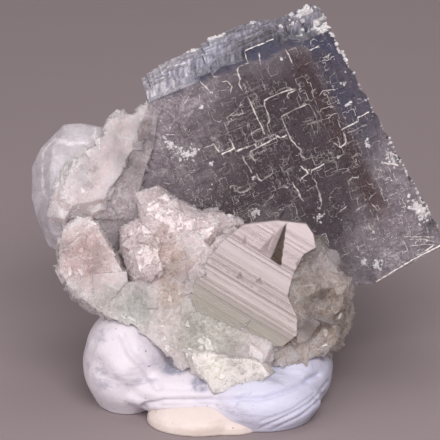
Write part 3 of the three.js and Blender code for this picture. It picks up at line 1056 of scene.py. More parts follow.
FAINT_LINES = [
    [(2.85, 1.45), (2.85, 2.75)], [(4.8, 1.2), (3.9, 1.8), (3.4, 1.9), (3.6, 2.3), (3.4, 3.2), (3.5, 3.7)],
    [(5.9, 1.4), (5.7, 2.2), (5.6, 2.7)], [(6.7, -0.6), (8.2, -0.6), (8.3, 0), (9, 0.4)],
    [(8.9, 1), (9.6, 1.1), (9.9, 1.9), (9.5, 2.5)], [(11.6, 0), (12.8, 0)], [(11.5, 7), (12.2, 7.3)],
    [(6.4, 4), (6.4, 4.8), (7, 5.4), (7.3, 5.2)], [(5.9, 4.6), (5.9, 5.2)],
    [(7.6, 6.2), (8.1, 5.8), (8, 5.2), (8.7, 5), (10.6, 4.3)], [(9.8, 7.6), (10.1, 6.7)],
    [(9.6, 8.1), (9.9, 8.2), (10.8, 7.9), (11.4, 7.9)], [(6.5, 10.4), (6.5, 11.5)],
    [(10.7, 12.4), (10.8, 13.4)], [(11.8, 12.7), (12, 13.9), (13.3, 13.6)], [(12, 12.2), (13.2, 12.6)],
    [(5.7, 13.1), (5.8, 13.9), (6.3, 14.3), (7, 14.4), (7.6, 14)],
    [(8, 16.9), (8.8, 16.4), (9.6, 16.2), (10, 15.8)], [(13.8, 15.7), (14.3, 15.9)],
    [(15.7, 15.2), (15.8, 16), (16.2, 16.3)], [(14.9, 16.8), (13.7, 17)], [(17, 5.2), (17, 6.6)],
    [(15, 6.2), (15.1, 5.7), (15.4, 5.6)], [(14.8, 7.4), (14.9, 8.1)],
    [(17.5, 7.2), (17.8, 7.5), (18, 9.2), (17.8, 10), (17.4, 11)],
    [(20.5, 0.8), (20.6, 0.3), (21.1, 0.2), (21.4, 0.7)], [(18.6, -0.4), (19.8, 0.15)],
    [(18.9, 2.7), (20, 2.6)], [(21.2, 2.75), (22.1, 2.7)], [(20.3, 3), (20.3, 3.6)],
    [(21, 6), (21.2, 5.2), (22, 4.9)], [(19.2, 6.8), (19.9, 6.4), (21.3, 6.8)], [(17.8, 15), (18.1, 14.9)],
    [(20.2, 15.3), (20.6, 15.1), (21.2, 15), (21.4, 15.5)],
    [(18.1, 16), (18.75, 16.1), (19.25, 16.25), (19.45, 17)], [(20.2, 16.3), (20.6, 16.1)],
    [(16.5, 20.8), (17.1, 20.7), (17.6, 20.5)], [(20.3, 20.9), (20.7, 20.5), (21.5, 20.3)],
    [(20.4, 21.2), (20.7, 22)], [(20.6, 22.8), (20.5, 23.7)], [(18.4, 25.1), (19, 25.5), (19.6, 25.4)],
    [(16.9, 22.9), (17.1, 23.9)], [(14, 26.6), (15, 25.95), (15.9, 26)], [(16.2, 26.5), (16.8, 26.95)],
    [(23.2, 27.1), (24.8, 27.7), (25.9, 28.5)], [(22.6, 26.5), (24.2, 27.2), (26.1, 28)],
    [(23, 27.9), (24.6, 28.3), (25.8, 28.9)], [(-1.9, 9.6), (-1.2, 10.2)], [(-7, 9.5), (-6.6, 9.1)],
    [(0.4, 4.4), (1.2, 4.7), (1.9, 5.1)],
]
line_random = np.random.default_rng(11)
ridge_points, ridge_faces, ridge_bright = [], [], []


def ridge(path, width, bright):
    """A thin ridge along corner points on the face, tapering to nothing at its ends."""
    path = np.array(path, float)
    lengths = np.linalg.norm(np.diff(path, axis=0), axis=1)
    reach = np.concatenate([[0], np.cumsum(lengths)])
    along = np.union1d(np.arange(0, reach[-1], 0.3), reach)
    spots = np.column_stack([np.interp(along, reach, path[:, k]) for k in range(2)])
    spots += line_random.normal(0, 0.02, spots.shape)
    heading = np.gradient(spots, axis=0)
    sideways = np.column_stack([-heading[:, 1], heading[:, 0]]) / np.linalg.norm(heading, axis=1)[:, None]
    thick = width * line_random.uniform(0.35, 1.2, len(spots))
    thick[[0, -1]] *= 0.3
    first = len(ridge_points)
    for spot, side, half in zip(spots, sideways * thick[:, None], thick):
        ridge_points.extend([(*(spot - side), 0.01), (*spot, -half), (*(spot + side), 0.01), (*spot, half)])
    ridge_faces.extend([first + corner for corner in face] for face in between_rings(4, len(spots) - 1))
    ridge_faces.append(range(first, first + 4))
    ridge_faces.append(range(len(ridge_points) - 4, len(ridge_points)))
    ridge_bright.extend(np.repeat(bright * line_random.uniform(0.5, 1.3, len(spots)), 4))


def stepping(path, jog):
    """A path that keeps its direction but steps a little sideways now and then, as a step edge does."""
    path = np.array(path, float)
    points = [path[0]]
    for start, end in zip(path, path[1:]):
        length = np.linalg.norm(end - start)
        along = (end - start) / length
        across = np.array([-along[1], along[0]])
        shift = 0
        for place_on in np.sort(line_random.uniform(0.1, length - 0.1, int(length / 0.9))):
            points.append(start + along * place_on + across * shift)
            shift = line_random.normal(0, jog)
            points.append(start + along * place_on + across * shift)
        points.append(end)
    return points


def curled(start):
    """A short path that sets off along the cube's edges and then turns as it likes."""
    steps = line_random.integers(4, 14)
    turns = line_random.integers(4) + np.cumsum(line_random.choice([-1, 0, 0, 0, 1], steps))
    heading = turns * np.pi / 2 + line_random.normal(0, 0.3, steps)
    return start + np.cumsum(0.2 * np.column_stack([np.cos(heading), np.sin(heading)]), axis=0)


def cornered(start):
    """An L of two short runs along the cube's edges."""
    turned = line_random.choice([0, 1]) * np.pi / 2 + line_random.normal(0, 0.15)
    first = line_random.uniform(0.1, 0.5) * np.array([np.cos(turned), np.sin(turned)])
    second = line_random.uniform(-0.4, 0.4) * np.array([-np.sin(turned), np.cos(turned)])
    return [start, start + first, start + first + second]


def scattered(count, centre, spread):
    """Places on the face, crowded round a centre."""
    places = []
    while len(places) < count:
        x, y = line_random.uniform(-9, 26), line_random.uniform(0, 29)
        crowded = 0.25 + 0.75 * np.exp(-(((x - centre[0]) / spread) ** 2 + ((y - centre[1]) / spread) ** 2))
        if on_face(x, y) and line_random.uniform() < crowded:
            places.append(np.array([x, y]))
    return places


SHORT_LINES = [
    # their shape, how many, where they crowd, how widely, their widths and brightness
    (curled, 380, (9, 9), 9, (0.02, 0.045), (0.15, 0.9)),
    (curled, 170, (21, 23), 4.5, (0.025, 0.06), (0.3, 1.0)),
    (cornered, 1300, (9, 10), 8, (0.018, 0.04), (0.05, 0.8)),
]
for path in STRONG_LINES:
    ridge(stepping(path, 0.03), 0.105, 1.2)
for path in FAINT_LINES:
    ridge(stepping(path, 0.04), 0.065, 0.75)
for outline, _ in outlines[len(STRONG_PLATES):]:
    run = np.roll(outline, -line_random.integers(len(outline)), axis=0)
    run = run[: max(2, int(len(run) * line_random.uniform(0.3, 0.7)))]
    ridge(run, line_random.uniform(0.025, 0.055), line_random.uniform(0.2, 1.1))
for shape_of, count, centre, spread, widths, brightness in SHORT_LINES:
    for spot in scattered(count, centre, spread):
        ridge(shape_of(spot), line_random.uniform(*widths), line_random.uniform(*brightness))
step_rims = new_object("step_rims", ridge_points, ridge_faces)
outward(step_rims)
mark(step_rims, "bright", ridge_bright)
place(step_rims, cube_to_world, [rims.material], *SPECIMEN)

# %% [markdown]
# ## Flecks
#
# Flecks of white crystal no wider than a hair lie scattered over the face.

# %% Flecks
FLECKS = 700
flecks = bmesh.new()
for _ in range(FLECKS):
    x, y = line_random.uniform(-9, 26), line_random.uniform(0, 29)
    size = line_random.uniform(0.035, 0.09) * (2 if line_random.uniform() < 0.06 else 1)
    if on_face(x, y):
        turn = Matrix.Rotation(line_random.uniform(0, 3), 4, "Z")
        turned = turn @ Matrix.Diagonal((size, size * 0.7, size * 0.5, 1))
        where = Matrix.Translation((x, y, 0)) @ turned
        bmesh.ops.create_icosphere(flecks, subdivisions=1, radius=1, matrix=where)
place(poured("face_flecks", flecks), cube_to_world, [frost.material], *SPECIMEN)

# %% [markdown]
# ## Frost
#
# White crumbs have settled along the cube's edges and on its corners. Each is a shard, dropped near a line
# and drawn to the nearest point of the cube's skin, which was kept when the cube was placed. A union melts
# those that touch into crusts.

# %% Frost crusts on the cube's corners and edges
FROST = [
    # start and end of the line, spread, how many crumbs, their size
    ((22.4, -0.1, 0.5), (22.3, -1.2, 17), 0.15, 90, 0.5), ((23.2, 0.2, 0), (23.9, 4, 0), 0.15, 40, 0.36),
    ((23.0, -0.3, 1), (23.2, -0.8, 16), 0.25, 40, 0.45), ((20.2, -1.2, 6), (22.0, -1.6, 16), 0.9, 45, 0.45),
    ((23.9, 4, 0.1), (26.8, 27, 0.1), 0.2, 50, 0.26), ((9.6, -2.4, 16.5), (11.6, -2.5, 15.5), 0.2, 40, 0.5),
    ((7.0, -2.0, 17), (7.8, -2.0, 16), 0.2, 20, 0.4), ((15.4, -2.6, 16), (15.6, -2.6, 15), 0.15, 8, 0.4),
    ((25.3, 23.0, 0), (26.0, 25.2, 0), 0.45, 120, 0.34), ((24.3, 15.8, 0), (24.9, 18, 0), 0.4, 40, 0.26),
    ((0.4, 4.9, 0), (0.7, 6.4, 0), 0.3, 34, 0.28), ((1.3, 6.5, 0), (2.0, 8.0, 0), 0.35, 44, 0.3),
    ((2.0, 7.8, 0), (3.4, 7.4, 0), 0.22, 30, 0.27), ((5.5, 2.8, 0), (5.8, 2.9, 0), 0.12, 8, 0.28),
    ((16.4, 1, 0), (16.8, 1, 0), 0.1, 6, 0.26), ((22.4, 6.6, 0), (22.8, 6.5, 0), 0.12, 8, 0.26),
    ((22.0, 9.1, 0), (22.4, 8.9, 0), 0.12, 8, 0.26), ((18.8, 14.6, 0), (18.9, 14.5, 0), 0.1, 5, 0.24),
    ((22.5, 13.9, 0), (22.5, 14.7, 0), 0.15, 14, 0.28), ((8.1, 13.2, 0), (8.5, 13.2, 0), 0.1, 6, 0.24),
    ((4.1, 9.8, 0), (4.6, 9.7, 0), 0.12, 10, 0.28), ((6.4, 17.4, 0), (7.5, 17.1, 0), 0.2, 24, 0.27),
    ((17, 27.7, 0), (17.2, 27.5, 0), 0.15, 8, 0.3), ((18.2, 28.3, 0), (18.8, 28.7, 0), 0.3, 20, 0.26),
    ((13.7, 20.6, 0), (14.4, 20.3, 0), 0.25, 18, 0.25), ((19.5, 24.8, 0), (19.6, 24.7, 0), 0.1, 5, 0.24),
]
crumb_random = np.random.default_rng(51)
crumbs = []
for start, end, spread, count, size in FROST:
    for _ in range(count):
        wanted = Vector(start).lerp(Vector(end), crumb_random.uniform())
        wanted += Vector(crumb_random.normal(0, spread, 3))
        spot, _, _, _ = cube_skin.find_nearest(wanted)
        shape = shard(size * crumb_random.uniform(0.4, 1.2), Matrix.Identity(3), crumb_random)
        bmesh.ops.translate(shape, verts=shape.verts, vec=spot)
        crumbs.append(finished(poured("crumb", shape), [frost.material]))
crusts = crumbs.pop()
crusts.name = "frost_crusts"
united(crusts, crumbs)
place(crusts, cube_to_world, [], *SPECIMEN)

# %% [markdown]
# ## The grown cluster
#
# The rest of the specimen is one mass of broken crystal that drifts from white to pink, green and brown. It
# starts as a few lofts, one for each block, and a union joins them with no gaps. Each block has its own
# kind of crystal, by number: grey inside, then frosted, crest, green and honey-coloured.

# %% The blocks of the cluster
CLUSTER = {
    # kind of shards, front, back, slope, draw, outline from the front (x, z)
    "core": (0, -6.6, 8, (0, 0), (0.05, 0.3), [
        (-17.5, 12.5), (-17, 20), (-13.5, 27), (-11.5, 29.5), (-10.8, 27), (-10.5, 21.5), (-6, 21),
        (6, 18.5), (14, 14), (15, 7), (8, 4), (-2, 4), (-9, 9),
    ]),
    "sliver": (0, -6.8, 0, (0.1, -0.02), (0.02, 0.2), [
        (-7.2, 33.6), (-6.2, 32.6), (-6.6, 29), (-7.6, 26.4), (-8.4, 23.5), (-8.4, 20), (-13, 20),
        (-12, 24), (-10, 28),
    ]),
    "pink": (1, -9.4, 7, (-0.08, -0.05), (0.1, 0.2), [
        (-15.4, 21), (-13.2, 19.8), (-9.8, 13.8), (-9.8, 11.2), (-13.2, 9.4), (-16.4, 10.6), (-18.1, 14.3),
        (-18.2, 17), (-17.6, 19.4),
    ]),
    "crest": (2, -10.2, 0, (0.02, 0.15), (0.3, 0.1), [
        (-10.6, 19.2), (-9.2, 19.9), (-8.3, 20.4), (-8.3, 22.8), (-6.4, 24), (-1.2, 21), (1.4, 20.9),
        (3.6, 19.8), (0.6, 16.4), (-2.5, 15.4), (-3.6, 17.6), (-6, 17.8), (-6.4, 15.5), (-5.6, 12.8),
        (-7.2, 11.6), (-9.4, 12.4), (-9.8, 14), (-10.6, 17),
    ]),
    "hollow": (1, -10.2, 0, (-0.1, -0.02), (0.1, 0.1), [
        (-8, 19), (-1.2, 19), (2, 15), (-2, 10), (-6, 9.5), (-9.6, 10.4),
    ]),
    "seam": (2, -10.6, 0, (0, 0.1), (0.2, 0.1), [
        (3.4, 19.2), (1.8, 17), (0.4, 15), (-1.2, 12.8), (-1.8, 10.4), (-3, 10.8), (-2.8, 13.4),
        (-1, 16.4), (1.4, 18.4),
    ]),
    "green": (3, -10.5, 8, (-0.1, 0.1), (0.15, 0.25), [
        (-17.3, 11.6), (-15.4, 10.1), (-12.6, 8.4), (-9.6, 7.6), (-7.2, 5.4), (-5.5, 4), (-2.5, 1.8),
        (8, 1.8), (10, 6), (6, 12), (-1.2, 14), (-9, 13.6), (-13, 12.8),
    ]),
    "honey_top": (4, -10.4, 4, (0.3, 0.05), (0.2, 0.2), [
        (10, 19), (13.2, 17.6), (15.4, 15), (16.8, 12.5), (16.6, 9), (14.4, 7.5), (9, 5.2), (7.8, 5),
        (8.5, 10.4), (9, 14),
    ]),
    "honey_foot": (4, -9.6, 6, (0.3, 0.02), (0.25, 0.25), [
        (16.8, 10.8), (17, 8), (15.6, 5), (13.8, 3.8), (9.6, 1.8), (6.2, 1.8), (7.2, 5), (10.8, 9),
        (14.4, 11),
    ]),
}
CLUSTER_SHARDS = {
    # kind: (how many to the square millimetre, size, how far they stand out for their size)
    0: [(0.15, 2.0, 0.15), (0.5, 0.9, 0.15)],
    1: [(0.2, 2.4, 0.22), (1.0, 1.0, 0.25), (2.0, 0.5, 0.3)],
    2: [(0.15, 2.4, 0.28), (0.5, 1.6, 0.3), (1.5, 0.9, 0.3), (2.0, 0.5, 0.3)],
    3: [(0.12, 3.2, 0.18), (0.6, 1.3, 0.25), (1.6, 0.6, 0.3)],
    4: [(0.15, 3.2, 0.25), (0.6, 1.6, 0.25), (0.9, 0.8, 0.25)],
}
kinds = [grey_crystal, cluster_crystal, crest_crystal, green_crystal, honey_crystal]
kinds = [finish.material for finish in kinds]
blocks = []
for name, (kind, *sizes, outline) in CLUSTER.items():
    blocks.append(finished(loft(name, outline, *sizes), kinds, kind))
cluster = blocks[0]
cluster.name = "grown_cluster"
united(cluster, blocks[1:])
print("cluster:", len(cluster.data.polygons), "faces")

# %% [markdown]
# Shards then break up the whole, large ones first and small ones between them, and one cut makes it flat
# below.

# %% The shards of the cluster
studded(cluster, kinds, CLUSTER_SHARDS, 3)
cut_piece(cluster, [FLAT_BELOW])
place(cluster, leaning, [], *SPECIMEN)

# %% [markdown]
# The ridge beside the lobe is broken like the rest, but on its right it split cleanly along one plane. That
# cut comes last, through the shards too, so it leaves one smooth face.

# %% The white ridge
RIDGE = [
    (-12.4, 30.8), (-11.8, 32.6), (-10.9, 33.1), (-9.7, 32.5), (-8.4, 33.1), (-7.3, 34.1), (-6.1, 33.2),
    (-7.8, 30.4), (-9.6, 27.1), (-11.8, 22.9), (-12.4, 21.1), (-15.1, 20.2), (-18.3, 19.9), (-19, 21.8),
    (-18.4, 24.4), (-17.4, 26.6), (-14, 28.9),
]
SPLIT_FACE = ((-12.8, -8.9, 26), (0.42, -0.9, 0.02))
RIDGE_SHARDS = {0: [(0.1, 3.2, 0.3), (0.3, 1.8, 0.25), (0.8, 0.9, 0.25), (1.5, 0.5, 0.3)]}
white = [cluster_crystal.material]
white_ridge = finished(loft("white_ridge", RIDGE, -8.8, 4, (0.12, 0.02), (0.25, 0.3)), white)
studded(white_ridge, white, RIDGE_SHARDS, 29)
cut_piece(white_ridge, [SPLIT_FACE])
place(white_ridge, leaning, [], *SPECIMEN)

# %% [markdown]
# ## The milky lobe
#
# On the left an older crystal has been rounded off by water. Only a few worn faces are left of it, cut as
# planes, with edges between them that are partly frosted and partly lightened by a painted highlight. It is
# clear outside and cloudy within, so a milky core stands inside a clear one. Both are soft: they get passes
# of smoothing and smooth shading.

# %% The milky lobe
def nearest(points, path):
    """The distance of each point to a path [x, z], as seen from the front."""
    at = points[:, [0, 2]]
    path = np.array(path, float)
    least = np.full(len(at), np.inf)
    for start, end in zip(path, path[1:]):
        edge = end - start
        share = np.clip(((at - start) @ edge) / (edge @ edge), 0, 1)
        least = np.minimum(least, np.linalg.norm(at - start - share[:, None] * edge, axis=1))
    return least


def skinned(name, outline, sizes, skin, soften, relief, finish, smooth=False, cuts=(), marks=None):
    """A loft with an even skin, pushed by a relief. The marks are numbers that its finish reads."""
    made = loft(name, outline, *sizes)
    cut_piece(made, [FLAT_BELOW, *cuts])
    even_skin(made, skin, soften)
    for mark_name, value in (marks or {}).items():
        mark(made, mark_name, value(arrays(made)[0]))
    push(made, relief)
    place(made, leaning, [finish.material], *SPECIMEN, smooth)


LOBE = [
    (-17.8, 31.7), (-15.6, 31.8), (-12.2, 31.1), (-9.8, 28.4), (-9.8, 21.8), (-12.7, 18.1), (-18, 16),
    (-19.6, 16.9), (-20.8, 19.8), (-21.7, 22.7), (-21.7, 26.5), (-20.6, 28.7), (-19.2, 30.2),
]
LOBE_CORE = [
    (-17.2, 30.4), (-14.4, 30.4), (-11, 28), (-11, 22.5), (-14, 19.4), (-17.8, 19.6), (-19.4, 21.6),
    (-20.2, 24.6), (-19.9, 27.4), (-18.8, 29),
]
LOBE_EDGES = [
    [(-18.9, 29.8), (-20.2, 28.2), (-20.4, 25.6), (-20.1, 23.4), (-19, 21.4), (-18.2, 19.9)],
    [(-14, 31.4), (-13.8, 29.4), (-14.4, 27.6)],
    [(-18.9, 29.8), (-16.4, 29.2), (-13.8, 29.4)],
]
LOBE_FACETS = [
    ((-19.6, -2, 25), (-0.85, -0.55, 0.05)), ((-15, -2, 30.4), (0.1, -0.6, 0.8)),
    ((-12.8, -2, 28), (0.6, -0.8, 0.1)),
]


def lobe_edges(points):
    """1 along the edges between the facets, 0 a little away from them."""
    away = np.minimum.reduce([nearest(points, path) for path in LOBE_EDGES])
    return ramp(away + 0.35 * smooth_noise(points, 1.5, 6), 0.3, 0.05)


skinned(
    "milky_lobe", LOBE, (-3, 11, (-0.15, 0.05), (0.2, 0.35)), 0.25, 2,
    lambda p, n: 0.12 * smooth_noise(p, 3, 3), ice, smooth=True, cuts=LOBE_FACETS, marks={"edge": lobe_edges},
)
skinned(
    "milky_core", LOBE_CORE, (-1.4, 8, (-0.15, 0.05), (0.35, 0.3)), 0.28, 3,
    lambda p, n: 0.35 * smooth_noise(p, 3, 8), lilac_crystal, smooth=True,
)

# %% [markdown]
# ## The striated block
#
# This block faces the viewer with one glossy plane, cut through it before its skin is made and covered with
# fine parallel steps. The steps are terraces: every narrow strip across them keeps a level of its own. The
# pits are three-sided: the depth at each place is the least of its distances to the three sides, so a side
# that counts more is a steeper wall.

# %% The striated block
STRIATED = [
    (4, 19.7), (7.9, 20.2), (11.5, 19.8), (12.4, 18.5), (12.7, 16.8), (11.2, 16), (10, 13.8), (9.3, 11),
    (10.4, 8.6), (10.4, 6.4), (8.6, 5), (4.4, 5.2), (1.2, 6.2), (-1.4, 8.4), (-2.4, 11), (-1.8, 13.5),
    (-0.2, 15.8), (1.4, 17.8),
]
PITS = [
    # three corners in a clockwise order, how steep the walls on them are
    ([(9.1, 19.8), (8.4, 14.5), (5.7, 16.4)], (1.0, 0.9, 0.7)),
    ([(7.9, 19.0), (6.9, 16.4), (6.2, 17.0)], (0.8, 1.0, 0.4)),
    ([(4.2, 18.4), (4.4, 17.0), (3.7, 17.2)], (1.4, 0.9, 0.9)),
    ([(5.9, 13.4), (6.2, 12.4), (5.3, 12.8)], (1.4, 0.9, 0.9)),
    ([(3.6, 14.0), (4.0, 12.9), (3.0, 13.2)], (1.4, 0.9, 0.9)),
    ([(10.6, 15.6), (10.4, 14.2), (10.0, 14.8)], (1.4, 0.9, 0.9)),
]
SLOPE = ((0, -9.86, 0), (-0.20, -1, -0.14))


def beyond(points, start, end):
    """How far each point lies to the right of the line from one corner to another, as seen from the front."""
    edge = np.array(end, float) - start
    return (points[:, [0, 2]] - start) @ np.array([edge[1], -edge[0]]) / np.linalg.norm(edge)


def terraces(along, width, seed):
    """A level from -1 to 1 for each strip about width wide, with sharp edges."""
    wavy = along / width
    cell = np.floor(wavy + 0.35 * np.sin(1.7 * np.floor(wavy)))
    return 2 * hashed(np.column_stack([cell, cell * 0, cell * 0]), seed) - 1


def walls(points, corners, steepness):
    """The depth that each of a pit's three sides gives."""
    sides = zip(steepness, corners, corners[1:] + corners[:1])
    return [steep * beyond(points, start, end) for steep, start, end in sides]


def painted_pit_shade(points):
    """Painted shade: 1 on the wall of the largest pit that the light doesn't reach, and on its floor near
    that wall.
    """
    right, below, left = walls(points, *PITS[0])
    inside = ramp(np.minimum.reduce([1.4 * right, below, left]), 0.02, 0.1)
    return inside * ramp(left - right, -0.35, -0.15)


def striated_relief(p, n):
    along = p[:, 0] * sin(STRIPES) + p[:, 2] * cos(STRIPES) + 0.05 * smooth_noise(p, 3, 2)
    quiet = ramp(along, 21.5, 19.5)
    steps = 0.05 * terraces(along, 1.0, 4) + 0.035 * terraces(along, 0.33, 9) * (0.3 + 0.7 * quiet)
    front = ramp(-n[:, 1], 0.3, 0.7)
    pits = sum(np.clip(np.minimum.reduce(walls(p, *pit)), 0, None) for pit in PITS)
    return front * (steps - pits) - 0.08


skinned(
    "striated_block", STRIATED, (-11.6, 1, (-0.02, 0.16), (0.02, 0.2)), 0.13, 1, striated_relief, cleavage,
    cuts=[SLOPE], marks={"pit": painted_pit_shade},
)

# %% [markdown]
# ## The chip
#
# A yellowish chip sits at the front of the putty.

# %% The chip
CHIP = [
    (-3.1, 4.9), (0, 4.8), (2.3, 4.1), (4.9, 4), (6.6, 3.5), (7.6, 2), (6.6, 0.6), (4.6, -0.2), (2.9, 0.4),
    (2.3, -0.5), (0, -0.5), (-0.6, 0.8), (-2.2, 2.3),
]
CHIP_SHARDS = {0: [(0.4, 1.3, 0.2), (1.5, 0.7, 0.25), (3.0, 0.35, 0.3)]}
yellowish = [chip_crystal.material]
chip = finished(loft("bottom_chip", CHIP, -13, -6, (0, 0.15), (0.15, 0.2)), yellowish)
studded(chip, yellowish, CHIP_SHARDS, 13)
cut_piece(chip, [FLAT_BELOW])
place(chip, leaning, [], *SPECIMEN)

# %% [markdown]
# ## The putty
#
# Two lumps of soft putty hold the specimen. Putty is rounded where it was pinched and creased where it was
# folded, so each lump is a few ellipsoids, melted together by a remesh, cut flat at the ground and then
# pushed in along creases. The crystal is sunk into them, which hides where they meet.

# %% Lumps of putty
PUTTY_SKIN = 0.2  # the size of the lumps' faces
PUTTY_SOFTEN = 6  # passes of smoothing
BLUE_LUMPS = [
    # centre, half sizes
    ((0, 0.5, 2.6), (13.6, 12.6, 4.6)),
    ((-9.8, -3.2, 4.6), (5.6, 8, 6.6)),
    ((9.4, -1.5, 3.2), (5.6, 10, 5)),
    ((6.2, -9.4, 2.4), (7.2, 6, 3.9)),
    ((-2.5, -8.4, 3), (9, 4.6, 3)),
    ((1.5, 9.4, 4), (9.5, 5.6, 5.4)),
]
CREAM_LUMPS = [((-1.2, -10.6, 0.6), (6.4, 5, 2.5)), ((2.4, -11.6, 0.3), (4, 3.6, 1.8))]


def melted(name, ellipsoids):
    """Ellipsoids melted together by a remesh, and cut flat at the ground."""
    shape = bmesh.new()
    for centre, half in ellipsoids:
        stretch = Matrix.Translation(centre) @ Matrix.Diagonal((*half, 1))
        bmesh.ops.create_icosphere(shape, subdivisions=4, radius=1, matrix=stretch)
    cut_away(shape, (0, 0, 0), (0, 0, -1))
    made = poured(name, shape)
    even_skin(made, PUTTY_SKIN, PUTTY_SOFTEN)
    return made


def creased(made, node, finish, slot, creases, seed):
    """Lumpy skin with dents, pressed in along creases, which are paths seen from the front."""

    def relief(points, normals):
        lifted = points[:, 1] * sin(radians(LEAN)) + points[:, 2] * cos(radians(LEAN))
        seen = np.column_stack([points[:, 0], points[:, 1], lifted])
        total = 0.3 * smooth_noise(points, 6, seed)
        total -= 0.15 * ramp(smooth_noise(points, 3.2, seed + 1, 2), 0.15, 0.6)
        for path, width, deep in creases:
            total -= deep * np.exp(-((nearest(seen, path) / width) ** 2)) * ramp(-normals[:, 1], -0.1, 0.3)
        return total * ramp(points[:, 2], 0, 1.5) - 0.15 * ramp(points[:, 2], 0, 0.5)

    push(made, relief)
    points, _ = arrays(made)
    points[:, 2] = np.clip(points[:, 2], 0, None)
    made.data.vertices.foreach_set("co", points.ravel())
    made.data.update()
    place(made, upright, [finish.material], node, slot, smooth=True)


BLUE_CREASES = [
    # path seen from the front, width, depth
    ([(-8.0, -2.3), (-5.4, -1.1), (0.6, -1), (3, -0.7), (6.2, -0.6), (9.6, 0.5), (13, 1.8)], 0.3, 0.5),
    ([(2.6, -1.8), (3, -0.7), (4.4, 0)], 0.2, 0.4),
    ([(-10.4, 6.6), (-9.2, 4.4), (-7.4, 2.6), (-6.2, 0.6)], 0.5, 0.5),
    ([(-13.6, 3.2), (-12.2, 1.2), (-9.8, 0), (-7.6, -1.4)], 1.1, 0.45),
    ([(5.8, -4.6), (9, -3), (12, -1.3), (14.2, 0.8)], 0.18, 0.3),
    ([(6.2, -5.2), (10.8, -3), (13.8, -0.6)], 0.15, 0.25),
    ([(6.0, -3.6), (9.5, -2.2), (12.5, -0.2)], 0.15, 0.15),
    ([(-6, -1.9), (-2, -1.6), (1.6, -1.7)], 0.2, 0.2),
    ([(-6.5, 0.6), (-3, 0.3), (1, 0.5)], 0.3, 0.15),
]
blue_lump = melted("blue_putty_lump", BLUE_LUMPS)
creased(blue_lump, "putty_blue", blue_putty, "blue_putty", BLUE_CREASES, 42)
cream_lump = melted("cream_putty_lump", CREAM_LUMPS)
creased(cream_lump, "putty_cream", cream_putty, "cream_putty", [], 47)

# %% [markdown]
# ## Stage, light and camera
#
# The floor is a wide dish of plain paper, flat in the middle and rising at its back and sides, so it fills
# the view from almost every side. Its front stays open, because the cube's face mirrors what is level with
# it there.

# %% The floor and backdrop
DISH_FLAT = 0.5  # radius of the flat part, in metres
DISH_RIM = 0.9
DISH_HEIGHT = 0.16
DISH_FRONT = -0.7
DISH_SIDES = 96
DISH_RINGS = 9
around = np.linspace(0, 2 * np.pi, DISH_SIDES, endpoint=False)
floor_points = []
for share in np.linspace(0, 1, DISH_RINGS):
    radius = DISH_FLAT + (DISH_RIM - DISH_FLAT) * share
    back = np.maximum(np.sin(around) * radius, DISH_FRONT)
    rise = DISH_HEIGHT * share**2.5 * ramp(np.sin(around), -0.5, 0)
    floor_points.extend(np.column_stack([np.cos(around) * radius, back, rise]))
floor_faces = [range(DISH_SIDES), *between_rings(DISH_SIDES, DISH_RINGS - 1)]
floor = new_object("floor", floor_points, floor_faces)
outward(floor)
floor.data.shade_smooth()
paper = Finish("backdrop_paper")
paper_colour = paper.mixed(paper.noise(60), (0.295, 0.25, 0.258), (0.315, 0.27, 0.278))
paper.surface(paper.shader(Base_Color=paper_colour, Roughness=0.8))
floor.data.materials.append(paper.material)
floor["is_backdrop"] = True

# %% [markdown]
# The striated face is a mirror tilted upwards, so a large soft light stands where that mirror looks. The
# cube's face looks straight ahead and must stay dark, so nothing bright is level with it. Weak fills soften
# the shadows, and three small lamps put glints on the small crystal faces.

# %% Lights
WARM = (1, 0.93, 0.94)


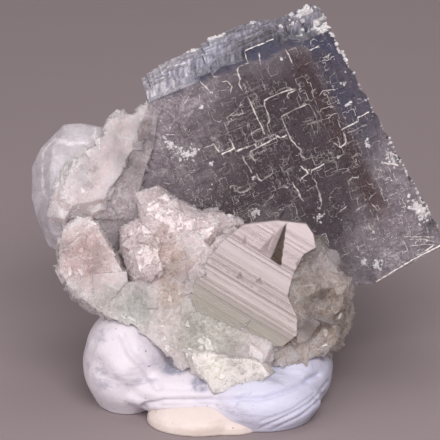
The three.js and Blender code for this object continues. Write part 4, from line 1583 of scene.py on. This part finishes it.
def soft_light(name, direction, distance, size, power):
    """An area light at an azimuth (to the right of the front) and elevation, aimed at the specimen."""
    azimuth, elevation = (radians(v) for v in direction)
    out = Vector((sin(azimuth) * cos(elevation), -cos(azimuth) * cos(elevation), sin(elevation)))
    data = bpy.data.lights.new(name, "AREA")
    data.shape = "RECTANGLE"
    data.size, data.size_y = size
    data.energy = power
    data.color = WARM
    made = bpy.data.objects.new(name, data)
    made.location = Vector((0, 0, 0.02)) + out * distance
    made.rotation_euler = (-out).to_track_quat("-Z", "Y").to_euler()
    bpy.context.scene.collection.objects.link(made)


LIGHTS = [
    # name, direction in degrees, distance and size in metres, power in watts
    ("softbox", (12, 42), 0.45, (0.3, 0.16), 1.3),
    ("top", (160, 70), 0.4, (0.3, 0.3), 0.35),
    ("left_fill", (-70, 30), 0.5, (0.25, 0.3), 0.3),
    ("low_fill", (-30, 12), 0.5, (0.2, 0.2), 0.7),
    ("backdrop_light", (150, 50), 0.6, (0.4, 0.4), 0.2),
    ("lamp_1", (-25, 38), 0.5, (0.02, 0.02), 0.05),
    ("lamp_2", (35, 55), 0.5, (0.02, 0.02), 0.05),
    ("lamp_3", (-60, 50), 0.5, (0.02, 0.02), 0.05),
]
for light in LIGHTS:
    soft_light(*light)

world = bpy.data.worlds.new("room")
world.use_nodes = True
world.node_tree.nodes["Background"].inputs["Color"].default_value = (0.20, 0.18, 0.183, 1)
bpy.context.scene.world = world

# %% [markdown]
# A long lens from further away shows the cube with little perspective. The camera looks along the
# specimen's lean.

# %% Camera
VIEW_CENTRE = (1.2, -4, 20.04)
VIEW_WIDTH = 52.8  # millimetres that the frame shows, level with the centre
LENS = 250
SENSOR = 36
data = bpy.data.cameras.new("camera")
data.lens = LENS
data.sensor_width = SENSOR
data.clip_end = 10
camera = bpy.data.objects.new("camera", data)
bpy.context.scene.collection.objects.link(camera)
away = VIEW_WIDTH * LENS / SENSOR
camera.location = leaning @ Vector((VIEW_CENTRE[0], VIEW_CENTRE[1] - away, VIEW_CENTRE[2]))
camera.rotation_euler = (radians(90 - LEAN), 0, 0)
bpy.context.scene.camera = camera
bpy.context.scene.view_settings.view_transform = "Standard"
print("camera is", round(away), "mm away")

# %% [markdown]
# ## Sizes
#
# The boxes of the imported model and of the visual pieces are both printed. The visual pieces must fill
# the imported model's box and not outgrow it.

# %% Print both boxes
shown_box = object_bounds()
boxes = {"cad": [list(corner) for corner in cad_box], "visual": [list(corner) for corner in shown_box]}
for name, (low, high) in boxes.items():
    print(name, [round(v / MM, 2) for v in low], [round(v / MM, 2) for v in high])
